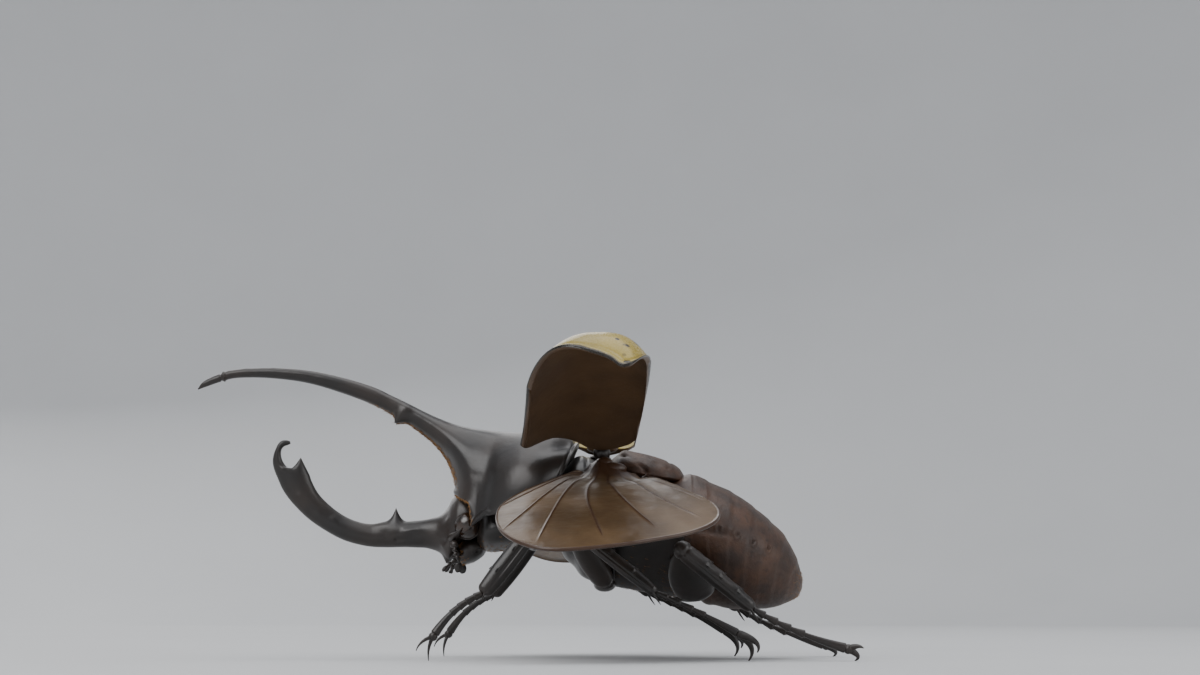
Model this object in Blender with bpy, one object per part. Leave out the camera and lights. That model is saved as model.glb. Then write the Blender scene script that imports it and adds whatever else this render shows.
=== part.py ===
"""A male Hercules beetle, life size, standing with its wing cases raised and its hind wings half open.

The head points to -X, the back is up, the feet are at Z = 0 and the mirror plane is Y = 0. Sizes and
places are in millimetres, read with X = 0 at the wing case hinge; ORIGIN_SHIFT centres the whole animal
over the origin. Each plate, horn and leg joint is one closed body, clear of its neighbours.
"""

import math

import bmesh
import bpy
import numpy as np
from mathutils import Matrix, Vector

MM = 0.001
ORIGIN_SHIFT = 18.07
CLEARANCE = 0.35
NECK_TOP = 47.8

WING_CASE_HINGE = (-5.9, -9.0, 48.7)
WING_CASE_RISE = math.radians(32.5)
WING_CASE_SWEEP = 0.15
WING_CASE_LENGTH = 61.0
WING_CASE_HALF_WIDTH = 13.2
WING_CASE_THICK = 0.9
TIP_PLACE = -0.62
CORNER_TURN = math.radians(84.0)
TIP_TURN = math.radians(102.0)
HINGE_BALL = (0.4, -9.0, 47.6)
HINGE_BALL_RADIUS = 1.9

WING_ROOT_SPAN = 12.6
WING_ROOT_HEIGHT = 44.1
WING_DROOP = 0.37
WING_CAMBER = 1.6
WING_THICK = 0.6
WING_ROOT_KNOB = (1.0, -12.9, 44.8)

EYE_PLACE = (-30.7, -7.2, 30.9)
EYE_RADIUS = 3.2

BLACK_SHELL = ("black_shell", (0.012, 0.010, 0.009), 0.22)
OLIVE_SHELL = ("olive_shell", (0.30, 0.27, 0.09), 0.30)
BROWN_SKIN = ("brown_skin", (0.075, 0.040, 0.020), 0.50)
WING_SKIN = ("wing_skin", (0.21, 0.12, 0.05), 0.40)
EYE_LENS = ("eye_lens", (0.02, 0.012, 0.008), 0.10)


def clear_scene():
    for obj in list(bpy.data.objects):
        bpy.data.objects.remove(obj, do_unlink=True)


def material(finish):
    name, colour, roughness = finish
    found = bpy.data.materials.get(name)
    if found:
        return found
    made = bpy.data.materials.new(name)
    made.use_nodes = True
    shader = made.node_tree.nodes["Principled BSDF"]
    shader.inputs["Base Color"].default_value = (*colour, 1.0)
    shader.inputs["Roughness"].default_value = roughness
    shader.inputs["Metallic"].default_value = 0.0
    made.diffuse_color = (*colour, 1.0)
    return made


def place(name, bm, finish):
    """Turns a bmesh in millimetres into a named, smooth-shaded object in metres."""
    bmesh.ops.recalc_face_normals(bm, faces=bm.faces)
    bmesh.ops.scale(bm, vec=(MM, MM, MM), verts=bm.verts)
    mesh = bpy.data.meshes.new(name)
    bm.to_mesh(mesh)
    bm.free()
    mesh.materials.append(material(finish))
    mesh.shade_smooth()
    mesh.set_sharp_from_angle(angle=math.radians(50))
    obj = bpy.data.objects.new(name, mesh)
    obj.location.x = ORIGIN_SHIFT * MM
    bpy.context.scene.collection.objects.link(obj)


def both_sides(name, build, finish):
    """The left piece, on -Y, and its mirror image on +Y."""
    place(f"{name}_left", build(), finish)
    bm = build()
    bmesh.ops.transform(bm, matrix=Matrix.Scale(-1, 4, Vector((0, 1, 0))), verts=bm.verts)
    place(f"{name}_right", bm, finish)


def combined(first, others, operation):
    """The first body with the others joined on or cut out, by exact Booleans."""
    made = []
    for bm in [first, *others]:
        bmesh.ops.recalc_face_normals(bm, faces=bm.faces)
        mesh = bpy.data.meshes.new("boolean_piece")
        bm.to_mesh(mesh)
        bm.free()
        obj = bpy.data.objects.new("boolean_piece", mesh)
        bpy.context.scene.collection.objects.link(obj)
        made.append(obj)
    for other in made[1:]:
        step = made[0].modifiers.new("step", "BOOLEAN")
        step.operation = operation
        step.solver = "EXACT"
        step.object = other
    bpy.context.view_layer.update()
    whole = bmesh.new()
    whole.from_object(made[0], bpy.context.evaluated_depsgraph_get())
    for obj in made:
        bpy.data.objects.remove(obj, do_unlink=True)
    return whole


# ---- the three ways that a body is shaped ----


def spline(rows, count):
    """Catmull-Rom curve through the rows, read at count even steps."""
    rows = np.array(rows, float)
    padded = np.vstack([2 * rows[0] - rows[1], rows, 2 * rows[-1] - rows[-2]])
    at = np.linspace(0, len(rows) - 1, count)
    i = np.minimum(at.astype(int), len(rows) - 2)
    t = (at - i)[:, None]
    a, b, c, d = padded[i], padded[i + 1], padded[i + 2], padded[i + 3]
    return 0.5 * (2 * b + (c - a) * t + (2 * a - 5 * b + 4 * c - d) * t**2 + (3 * b - a - 3 * c + d) * t**3)


def skin_rings(rings):
    """A closed bmesh: the rings bridged one to the next, and a cap on each end ring."""
    bm = bmesh.new()
    loops = [[bm.verts.new(p) for p in ring] for ring in rings]
    around = len(loops[0])
    for near, far in zip(loops, loops[1:]):
        for k in range(around):
            nxt = (k + 1) % around
            bm.faces.new((near[k], near[nxt], far[nxt], far[k]))
    bm.faces.new(reversed(loops[0]))
    bm.faces.new(loops[-1])
    return bm


def ribbed_body(ribs, count, around):
    """Rings across the mirror plane. A rib is its top x, z, its waist x, z, its bottom x, z, its half
    width, and the squareness of its upper and lower arch, from 2 for an ellipse upwards."""
    rings = []
    for top_x, top_z, waist_x, waist_z, low_x, low_z, half, over, under in spline(ribs, count):
        ring = []
        for k in range(around):
            angle = 2 * math.pi * k / around
            c, s = math.cos(angle), math.sin(angle)
            power = 2 / (over if s >= 0 else under)
            lift = abs(s) ** power
            far_x, far_z = (top_x, top_z) if s >= 0 else (low_x, low_z)
            across = math.copysign(abs(c) ** power, c) * half
            ring.append((waist_x + (far_x - waist_x) * lift, across, waist_z + (far_z - waist_z) * lift))
        rings.append(ring)
    return skin_rings(rings)


def tube(centres, sizes, around, side=(0, 1, 0)):
    """Oval rings along a path. sizes holds, for each ring, its half size along side and across it."""
    centres = np.array(centres, float)
    rings = []
    for centre, way, (wide, deep) in zip(centres, np.gradient(centres, axis=0), sizes):
        way = Vector(way).normalized()
        across = (Vector(side) - way * way.dot(Vector(side))).normalized()
        rise = way.cross(across)
        ring = []
        for k in range(around):
            turn = 2 * math.pi * k / around
            ring.append(Vector(centre) + across * (wide * math.cos(turn)) + rise * (deep * math.sin(turn)))
        rings.append(ring)
    return skin_rings(rings)


def horn(stations, count, around):
    """A curved horn in the mirror plane. A station is its x, its z, its half width and its half depth."""
    rows = spline(stations, count)
    return tube([(x, 0, z) for x, z, _, _ in rows], rows[:, 2:], around)


def bezier(points, count):
    """Quadratic curve from the first point to the last, pulled towards the middle one."""
    start, pull, end = (np.array(p, float) for p in points)
    t = np.linspace(0, 1, count)[:, None]
    return start * (1 - t) ** 2 + pull * (2 * t * (1 - t)) + end * t**2


def swelling(count, start, peak, end):
    """A ring size for each step: start, up to 1 at the peak's share of the length, and down to end."""
    sizes = []
    for s in np.linspace(0, 1, count):
        edge, share = (start, s / peak) if s < peak else (end, (1 - s) / (1 - peak))
        sizes.append(edge + (1 - edge) * math.sin(share * math.pi / 2))
    return np.array(sizes)[:, None]


def sheet_body(grid, thick):
    """A closed plate: the grid as its outer face, the same grid moved back by thick, and a rim between."""
    grid = np.array(grid, float)
    normal = np.cross(np.gradient(grid, axis=0), np.gradient(grid, axis=1))
    normal /= np.linalg.norm(normal, axis=2)[:, :, None]
    rows, columns = grid.shape[:2]
    bm = bmesh.new()
    verts = [[[bm.verts.new(p) for p in row] for row in face] for face in (grid, grid - normal * thick)]
    for face in verts:
        for i in range(rows - 1):
            for j in range(columns - 1):
                bm.faces.new((face[i][j], face[i][j + 1], face[i + 1][j + 1], face[i + 1][j]))
    rim = [(0, j) for j in range(columns)] + [(i, columns - 1) for i in range(1, rows)]
    rim += [(rows - 1, j) for j in range(columns - 2, -1, -1)] + [(i, 0) for i in range(rows - 2, 0, -1)]
    for (i, j), (m, n) in zip(rim, rim[1:] + rim[:1]):
        bm.faces.new((verts[0][i][j], verts[0][m][n], verts[1][m][n], verts[1][i][j]))
    return bm


def knob(centre, sizes, detail=2):
    """An ellipsoid."""
    bm = bmesh.new()
    bmesh.ops.create_icosphere(bm, subdivisions=detail, radius=1.0)
    bmesh.ops.scale(bm, vec=sizes, verts=bm.verts)
    bmesh.ops.translate(bm, vec=centre, verts=bm.verts)
    return bm


# ---- horns, head and front of the thorax ----

THORACIC_HORN = [
    (-94.9, 63.6, -95.0, 63.3, -94.9, 63.0, 0.35, 2, 2),
    (-93.6, 65.1, -93.5, 64.4, -93.3, 63.7, 0.75, 2, 2),
    (-90.2, 66.6, -90.0, 65.8, -89.9, 65.0, 0.95, 2, 2),
    (-85.7, 67.8, -85.7, 66.9, -85.7, 66.0, 1.05, 2, 2),
    (-78.0, 68.15, -78.0, 67.05, -78.0, 65.95, 1.2, 2, 2),
    (-69.9, 67.7, -69.6, 66.3, -69.4, 64.85, 1.5, 2, 2),
    (-62.0, 66.2, -61.6, 64.4, -61.2, 62.5, 1.8, 2, 2),
    (-54.0, 63.8, -53.5, 61.7, -53.0, 59.4, 2.1, 2, 2),
    (-49.6, 61.85, -49.1, 59.6, -48.6, 57.0, 2.4, 2, 2),
]

PRONOTUM = [
    (-49.2, 61.7, -48.7, 59.4, -48.2, 56.8, 2.5, 2, 2),
    (-45.0, 59.7, -44.4, 57.2, -43.6, 54.0, 3.0, 2, 2),
    (-40.4, 57.4, -40.0, 54.6, -39.4, 50.6, 4.0, 2, 2),
    (-35.9, 55.5, -36.2, 51.2, -36.4, 47.0, 5.6, 2, 2),
    (-32.3, 54.4, -34.0, 46.8, -34.7, 43.2, 8.2, 2, 2),
    (-28.3, 53.75, -32.0, 40.5, -34.0, 40.8, 10.8, 2, 2),
    (-24.6, 53.3, -29.0, 33.4, -33.4, 38.8, 12.9, 2.05, 2),
    (-21.0, 53.0, -25.5, 32.8, -28.0, 38.0, 16.2, 2.1, 2),
    (-16.5, 52.95, -20.5, 34.0, -22.0, 38.6, 18.6, 2.15, 2),
    (-11.0, 52.5, -15.5, 36.0, -15.5, 40.2, 19.2, 2.15, 2),
    (-6.6, 51.3, -11.4, 38.6, -10.4, 41.8, 17.6, 2.1, 2),
    (-5.0, 50.2, -9.6, 40.6, -8.6, 42.8, 15.8, 2.1, 2),
]

HEAD = [
    (-40.2, 32.6, -40.4, 29.2, -40.5, 25.6, 3.0, 2, 2),
    (-37.6, 33.5, -37.8, 28.5, -37.7, 24.6, 4.2, 2, 2),
    (-35.7, 35.2, -35.9, 28.0, -35.8, 22.9, 5.8, 2, 2),
    (-34.7, 37.1, -34.6, 29.2, -34.7, 23.4, 7.0, 2, 2),
    (-33.2, 38.0, -33.0, 30.8, -33.2, 27.4, 7.6, 2, 2),
    (-30.2, 37.2, -30.0, 31.8, -30.0, 29.0, 7.0, 2, 2),
    (-27.2, 34.4, -27.0, 31.8, -27.0, 29.6, 5.4, 2, 2),
]

CEPHALIC_HORN = [
    (-40.6, 29.1, 2.8, 3.45),
    (-44.8, 29.0, 2.5, 3.1),
    (-48.8, 29.0, 2.3, 3.1),
    (-54.6, 28.9, 2.2, 2.75),
    (-59.3, 30.1, 2.1, 2.8),
    (-63.9, 32.6, 2.0, 2.9),
    (-67.8, 36.2, 2.0, 3.15),
    (-70.3, 39.6, 1.9, 3.45),
    (-71.9, 42.1, 1.6, 3.6),
    (-72.8, 43.9, 0.8, 2.4),
]
HORN_HOOK = [
    (-74.0, 41.0, 1.5, 2.0),
    (-75.4, 43.6, 1.35, 1.65),
    (-76.1, 46.0, 1.15, 1.0),
    (-76.0, 48.2, 1.0, 0.78),
    (-75.2, 50.1, 0.85, 0.62),
    (-74.1, 50.8, 0.7, 0.5),
    (-73.0, 50.5, 0.45, 0.35),
]
FORK_TOOTH = [(-70.4, 41.6, 1.4, 2.3), (-70.5, 44.2, 0.9, 1.4), (-70.5, 46.4, 0.3, 0.3)]
BASAL_TOOTH = [(-47.7, 30.4, 1.4, 2.4), (-47.8, 32.7, 0.8, 1.0), (-47.95, 34.9, 0.3, 0.3)]

PROSTERNUM = [
    (-27.9, 28.2, -28.2, 27.2, -28.1, 26.3, 5.8, 2.2, 2.2),
    (-25.4, 32.0, -26.2, 29.0, -26.5, 25.2, 10.4, 2.2, 2.2),
    (-21.8, 34.4, -22.6, 30.2, -23.4, 25.3, 12.4, 2.2, 2.2),
    (-16.8, 36.2, -17.2, 31.0, -18.0, 26.4, 13.6, 2.2, 2.2),
    (-12.0, 37.4, -12.2, 32.0, -13.0, 26.4, 13.4, 2.2, 2.2),
    (-9.8, 37.6, -9.9, 32.0, -10.4, 27.2, 11.5, 2.2, 2.2),
]

MOUTH = [
    (-33.6, 25.2, -33.7, 24.2, -33.8, 23.2, 2.6, 2.2, 2.2),
    (-31.9, 26.8, -31.8, 24.6, -31.6, 22.2, 4.8, 2.2, 2.2),
    (-30.0, 28.0, -29.8, 26.0, -29.0, 23.6, 5.4, 2.2, 2.2),
    (-29.0, 27.8, -28.8, 26.8, -28.4, 24.8, 3.8, 2.2, 2.2),
]


def fork_of(side):
    """One of the pair of teeth under the thoracic horn."""
    path = [(-45.4, 1.4 * side, 56.9), (-47.0, 2.2 * side, 56.2), (-48.2, 2.5 * side, 55.5)]
    return tube(path, [(1.0, 1.9), (0.8, 1.2), (0.3, 0.35)], 6)


def horns_and_head():
    place("thoracic_horn", ribbed_body(THORACIC_HORN, 15, 8), BLACK_SHELL)
    shield = ribbed_body(PRONOTUM, 17, 20)
    place("pronotum", combined(shield, [fork_of(-1), fork_of(1)], "UNION"), BLACK_SHELL)
    branches = [horn(HORN_HOOK, 9, 6), horn(FORK_TOOTH, 3, 6), horn(BASAL_TOOTH, 3, 6)]
    place("cephalic_horn", combined(horn(CEPHALIC_HORN, 14, 8), branches, "UNION"), BLACK_SHELL)
    x, y, z = EYE_PLACE
    socket = EYE_RADIUS + CLEARANCE
    sockets = [knob((x, side * y, z), (socket, socket, socket)) for side in (1, -1)]
    place("head", combined(ribbed_body(HEAD, 11, 14), sockets, "DIFFERENCE"), BLACK_SHELL)
    both_sides("eye", lambda: knob(EYE_PLACE, (EYE_RADIUS, EYE_RADIUS, EYE_RADIUS)), EYE_LENS)
    place("prosternum", ribbed_body(PROSTERNUM, 8, 14), BLACK_SHELL)
    place("mouthparts", ribbed_body(MOUTH, 6, 10), BLACK_SHELL)


ANTENNA_PATH = [
    (-33.9, -8.4, 26.4), (-34.2, -9.4, 25.3), (-33.6, -9.9, 23.8), (-33.1, -10.0, 22.4), (-32.9, -10.0, 19.9),
]
ANTENNA_SIZES = [
    (0.5, 0.6), (0.9, 0.95), (0.5, 0.5), (0.42, 0.42), (0.4, 0.42),
    (0.75, 0.85), (0.9, 1.1), (0.8, 1.0), (0.4, 0.5),
]
PALP_PATH = [(-34.5, -3.6, 22.4), (-35.6, -4.8, 21.6), (-36.4, -5.4, 20.3)]


def feelers():
    path = spline(ANTENNA_PATH, len(ANTENNA_SIZES))
    both_sides("antenna", lambda: tube(path, ANTENNA_SIZES, 6, side=(0, 1, 0.1)), BLACK_SHELL)
    palp_sizes = 0.5 * np.ones((5, 2)) * swelling(5, 0.8, 0.7, 0.6)
    both_sides("palp", lambda: tube(bezier(PALP_PATH, 5), palp_sizes, 6, side=(0, 1, 0.2)), BLACK_SHELL)


# ---- thorax behind the pronotum, and abdomen ----

MESOTHORAX = [
    (-5.9, 47.0, -8.8, 38.0, -8.8, 24.6, 13.4, 2.3, 2.0),
    (-4.2, NECK_TOP, -6.0, 37.0, -6.7, 22.0, 15.4, 2.2, 1.9),
    (-1.2, 46.4, -2.0, 36.0, -3.8, 18.9, 16.6, 2.2, 1.9),
    (1.6, 44.6, 1.8, 35.0, 1.7, 16.8, 17.6, 2.2, 1.8),
]

METATHORAX = [
    (2.2, 43.8, 2.4, 35.0, 2.5, 16.5, 17.8, 2.2, 1.8),
    (7.0, 42.2, 7.0, 33.4, 7.4, 16.0, 18.8, 2.2, 1.7),
    (12.5, 41.2, 12.4, 31.0, 12.8, 14.9, 19.2, 2.2, 1.6),
    (17.2, 39.8, 17.2, 28.6, 17.2, 14.3, 19.0, 2.2, 1.6),
]

METANOTUM = [
    (3.2, 46.6, 3.1, 45.0, 3.1, 44.6, 5.2, 2, 2),
    (5.7, 48.5, 5.6, 43.9, 5.6, 43.4, 9.6, 2.3, 2),
    (10.2, 47.8, 10.2, 42.8, 10.2, 42.3, 11.4, 2.3, 2),
    (15.2, 46.3, 15.2, 42.1, 15.2, 41.6, 10.8, 2.3, 2),
    (18.3, 44.7, 18.3, 42.3, 18.3, 42.0, 7.6, 2.1, 2),
    (19.4, 43.6, 19.4, 43.2, 19.4, 43.0, 4.0, 2, 2),
]

ABDOMEN = [
    (18.7, 41.8, 18.0, 28.4, 19.6, 17.4, 18.2, 2.1, 1.7),
    (20.4, 43.0, 19.8, 28.2, 22.6, 14.4, 19.2, 2.1, 1.7),
    (22.6, 42.9, 22.2, 27.8, 24.8, 12.7, 19.8, 2.1, 1.8),
    (26.3, 41.1, 25.8, 27.2, 27.2, 12.6, 20.0, 2.1, 1.9),
    (31.3, 38.8, 29.8, 25.8, 30.0, 11.7, 19.6, 2.1, 2.0),
    (35.9, 35.6, 33.6, 24.2, 33.2, 11.3, 18.6, 2.1, 2.0),
    (39.7, 32.3, 37.2, 22.8, 36.6, 11.4, 16.8, 2.1, 2.0),
    (43.4, 28.6, 40.8, 21.2, 39.8, 11.5, 14.0, 2.1, 2.0),
    (46.4, 23.0, 44.2, 19.0, 43.2, 12.6, 10.2, 2.1, 2.0),
    (47.5, 19.2, 46.5, 17.2, 45.9, 13.9, 5.6, 2.0, 2.0),
    (47.5, 17.6, 47.3, 16.6, 47.1, 15.8, 1.6, 2.0, 2.0),
]

SCUTELLUM = [
    (-1.9, 47.3, -1.9, 47.0, -1.9, 46.9, 3.4, 2, 2),
    (-0.4, 48.0, -0.4, 46.8, -0.4, 46.6, 4.0, 2.2, 2),
    (1.2, 47.8, 1.2, 46.1, 1.2, 45.9, 2.6, 2.2, 2),
    (2.5, 46.9, 2.5, 45.9, 2.5, 45.7, 1.0, 2, 2),
]


def trunk():
    place("mesothorax", ribbed_body(MESOTHORAX, 6, 18), BLACK_SHELL)
    place("scutellum", ribbed_body(SCUTELLUM, 5, 10), BLACK_SHELL)
    place("metathorax", ribbed_body(METATHORAX, 6, 18), BLACK_SHELL)
    place("metanotum", ribbed_body(METANOTUM, 8, 14), BROWN_SKIN)
    place("abdomen", ribbed_body(ABDOMEN, 15, 18), BROWN_SKIN)


# ---- wing cases and hind wings ----


def wing_case_arc(reach, full):
    """How far out and how far down a point lies that is reach along a case of the full length: nearly
    straight at first, with a turn that grows over the last part by TIP_TURN."""
    steps = 40
    out = down = 0.0
    for k in range(steps):
        share = (k + 0.5) / steps * reach / full
        turn = math.radians(3) * share + TIP_TURN * max(share - 0.55, 0) ** 2 / 0.45**2
        out += math.cos(turn) * reach / steps
        down += math.sin(turn) * reach / steps
    return out, down


def wing_case_grid(along):
    """Columns run from the inner edge, behind, to the outer edge, in front, at even angles round the two
    quarter ellipses of the tip; rows run from the base to the tip. The tip lies near the inner edge. The
    case sags towards both edges, at the inner one only near the tip, and narrows a little there. Towards
    the outer edge a column turns down partly by its own length, and so sooner than the whole case does."""
    lift = Vector((0, -math.cos(WING_CASE_RISE), math.sin(WING_CASE_RISE)))
    dome = Vector((0, math.sin(WING_CASE_RISE), math.cos(WING_CASE_RISE)))
    columns = []
    for angle in [*np.linspace(-CORNER_TURN, 0, 5), *np.linspace(0, CORNER_TURN, 8)[1:]]:
        room, straight = (1 + TIP_PLACE, 0.62) if angle < 0 else (1 - TIP_PLACE, 0.53)
        v = TIP_PLACE + room * math.sin(angle) / math.sin(CORNER_TURN)
        end = WING_CASE_LENGTH * (straight + (1 - straight) * math.cos(angle))
        start = 2.0 + 7.2 * max(v + 0.2, 0) - 4.6 * max(v - 0.45, 0) + 3.0 * abs(v) ** 14
        own = 0.19 * min(max(v - TIP_PLACE, 0) / 0.8, 1)
        full = 1 / ((1 - own) / WING_CASE_LENGTH + own / end)
        column = []
        for reach in np.linspace(start, end, along):
            share = reach / WING_CASE_LENGTH
            out, down = wing_case_arc(reach, full)
            sag = (6.5 + 3.3 * share) * max(v, 0) ** 2 + 14.0 * max(-v, 0) ** 4 * share**2.5
            half_width = WING_CASE_HALF_WIDTH * (1.04 - 0.14 * share**4)
            sweep = WING_CASE_SWEEP * out * (1 - 0.5 * share) - 1.8 * share**3
            behind = Vector((sweep - half_width * v, 0, 0))
            column.append(Vector(WING_CASE_HINGE) + lift * out - dome * (down + sag) + behind)
        columns.append(column)
    return [list(row) for row in zip(*columns)]


def wing_case_body():
    """The shell and the thick root that grips its hinge ball."""
    x, y, z = HINGE_BALL
    root = knob((x, y - 1.4, z + 2.3), (3.6, 2.4, 1.7), 1)
    grip = HINGE_BALL_RADIUS + CLEARANCE
    shell = combined(sheet_body(wing_case_grid(10), WING_CASE_THICK), [root], "UNION")
    return combined(shell, [knob(HINGE_BALL, (grip, grip, grip))], "DIFFERENCE")


WING_EDGE = [
    (-10.5, 22.0), (-17.8, 31.5), (-22.4, 42.0), (-22.0, 54.0), (-17.6, 63.0), (-10.0, 67.6), (1.6, 65.6),
    (12.0, 61.4), (20.4, 56.6), (25.6, 49.4), (25.8, 41.0), (21.4, 32.6), (14.0, 24.0),
]


def hind_wing_grid(along, across):
    """Straight rays from the root along the body's side out to the wing's edge, on a drooping plane that
    swells by WING_CAMBER midway. The first ray is the front edge and the last one the rear edge."""
    columns = []
    for j, (x, span) in enumerate(spline(WING_EDGE, across)):
        share = j / (across - 1)
        root_x = -2.2 + 10.2 * share
        column = []
        for ray in np.linspace(0, 1, along):
            out = WING_ROOT_SPAN + (span - WING_ROOT_SPAN) * ray
            height = WING_ROOT_HEIGHT - WING_DROOP * (out - WING_ROOT_SPAN)
            height += WING_CAMBER * math.sin(math.pi * ray) * math.sin(math.pi * share)
            column.append((root_x + (x - root_x) * ray, -out, height))
        columns.append(column)
    return [list(row) for row in zip(*columns)]


def hind_wing_body():
    """The wing and the swollen root where its veins meet."""
    root = knob(WING_ROOT_KNOB, (3.0, 1.9, 1.35), 1)
    return combined(sheet_body(hind_wing_grid(5, 20), WING_THICK), [root], "UNION")


def wings():
    ball = (HINGE_BALL_RADIUS, HINGE_BALL_RADIUS, HINGE_BALL_RADIUS)
    both_sides("wing_case", wing_case_body, OLIVE_SHELL)
    both_sides("wing_case_hinge", lambda: knob(HINGE_BALL, ball, 2), BLACK_SHELL)
    both_sides("hind_wing", hind_wing_body, WING_SKIN)


# ---- legs: for each pair its joints' places, then the half sizes of its segments ----

LEGS = {
    "front": {
        "root": (-15.8, -4.0, 24.0), "hip": (-16.8, -13.2, 24.4), "knee": (-13.6, -22.6, 31.2),
        "shin": (-14.0, -24.0, 31.0), "ankle": (-26.3, -27.4, 15.0), "sole": (-32.8, -29.0, 12.4),
        "toe": (-36.9, -30.4, 5.9), "claw": 0.38,
        "claws": (((-38.6, -29.6, 3.0), (-38.2, -29.4, 0.05)), ((-40.2, -31.8, 4.6), (-40.8, -32.4, 2.3))),
        "coxa": (2.0, 2.0), "femur": (2.4, 3.0), "tibia": (1.5, 2.2), "tarsus": 1.1,
    },
    "mid": {
        "root": (0.8, -4.0, 17.0), "hip": (1.4, -13.4, 17.4), "knee": (-6.0, -27.0, 28.6),
        "shin": (-5.2, -28.6, 29.0), "ankle": (12.4, -30.8, 15.2), "sole": (21.8, -31.6, 11.3),
        "toe": (30.6, -32.2, 6.2), "claw": 0.6,
        "claws": (((35.3, -31.0, 2.9), (33.0, -31.0, 0.05)), ((36.2, -33.8, 4.4), (34.8, -34.2, 2.0))),
        "coxa": (1.6, 2.6), "femur": (3.0, 2.4), "tibia": (1.4, 1.6), "tarsus": 0.95,
    },
    "hind": {
        "root": (20.9, -4.4, 14.2), "hip": (22.0, -15.0, 14.8), "knee": (18.9, -27.2, 24.6),
        "shin": (17.6, -29.8, 25.4), "ankle": (34.2, -30.0, 11.6), "sole": (42.6, -29.6, 6.3),
        "toe": (54.9, -29.0, 2.8), "claw": 0.55,
        "claws": (((58.9, -28.2, 1.0), (56.9, -28.0, 0.05)), ((57.6, -30.0, 3.8), (58.6, -31.0, 2.9))),
        "coxa": (1.7, 2.0), "femur": (5.3, 3.0), "tibia": (1.7, 1.9), "tarsus": 1.0,
    },
}
SEGMENT_RINGS = 6
TARSUS_JOINTS = 5
LAST_JOINT_SHARE = 0.4
CLAW_RINGS = 5
CLAW_ROOT = (0.95, 1.1, 0.95)


def segment(start, end, half_sizes, swell, gaps, side):
    """A leg segment between two joints, short of each by its gap, thickest at the peak of the swell."""
    start, end = np.array(start, float), np.array(end, float)
    way = (end - start) / np.linalg.norm(end - start)
    path = np.linspace(start + way * gaps[0], end - way * gaps[1], SEGMENT_RINGS)
    return tube(path, swelling(SEGMENT_RINGS, *swell) * np.array(half_sizes), 8, side)


def tarsus_body(leg):
    """The foot's five joints as one waisted body: each swells towards its end, and the last is longest."""
    short = (1 - LAST_JOINT_SHARE) / (TARSUS_JOINTS - 1)
    starts = [short * k for k in range(TARSUS_JOINTS)] + [1.0]
    path = bezier((leg["ankle"], leg["sole"], leg["toe"]), 101)
    way = (path[1] - path[0]) / np.linalg.norm(path[1] - path[0])
    centres, sizes = [path[0] + way * 2 * CLEARANCE], [0.55]
    for near, far in zip(starts, starts[1:]):
        centres += [path[round(100 * (near + (far - near) * 0.8))], path[round(100 * (far - 0.02))]]
        sizes += [1.0, 0.66]
    return tube(centres, [(leg["tarsus"] * size, leg["tarsus"] * size) for size in sizes], 6)


def foot_body(leg):
    """The claw root and both claws as one body; the lower claw ends in a small flat on the floor."""
    toe = np.array(leg["toe"], float)
    way = toe - np.array(leg["sole"], float)
    heart = toe + way / np.linalg.norm(way) * (CLAW_ROOT[0] + CLEARANCE)
    sizes = leg["claw"] * np.linspace(1.2, 0.65, CLAW_RINGS)[:, None] * np.ones(2)
    claws = [tube(bezier((heart, pull, tip), CLAW_RINGS), sizes, 6) for pull, tip in leg["claws"]]
    foot = combined(knob(heart, CLAW_ROOT, 1), claws, "UNION")
    everything = foot.verts[:] + foot.edges[:] + foot.faces[:]
    floor = {"plane_co": (0, 0, 0), "plane_no": (0, 0, -1), "clear_outer": True}
    cut = bmesh.ops.bisect_plane(foot, geom=everything, **floor)
    rim = [item for item in cut["geom_cut"] if isinstance(item, bmesh.types.BMEdge)]
    bmesh.ops.contextual_create(foot, geom=rim)
    return foot


def legs():
    for pair, leg in LEGS.items():
        hip, knee, shin, ankle = leg["hip"], leg["knee"], leg["shin"], leg["ankle"]
        pieces = {
            "coxa": lambda: segment(leg["root"], hip, leg["coxa"], (0.6, 0.5, 0.45), (0, 0.5), (0, 0, 1)),
            "femur": lambda: segment(hip, knee, leg["femur"], (0.5, 0.45, 0.45), (0.6, 0.6), (1, 0, 0)),
            "tibia": lambda: segment(shin, ankle, leg["tibia"], (0.65, 0.6, 0.7), (0, 0.3), (0, 1, 0)),
            "tarsus": lambda: tarsus_body(leg),
            "claws": lambda: foot_body(leg),
        }
        for piece, build in pieces.items():
            both_sides(f"{pair}_{piece}", build, BLACK_SHELL)


clear_scene()
horns_and_head()
feelers()
trunk()
wings()
legs()
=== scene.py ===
import math

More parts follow.
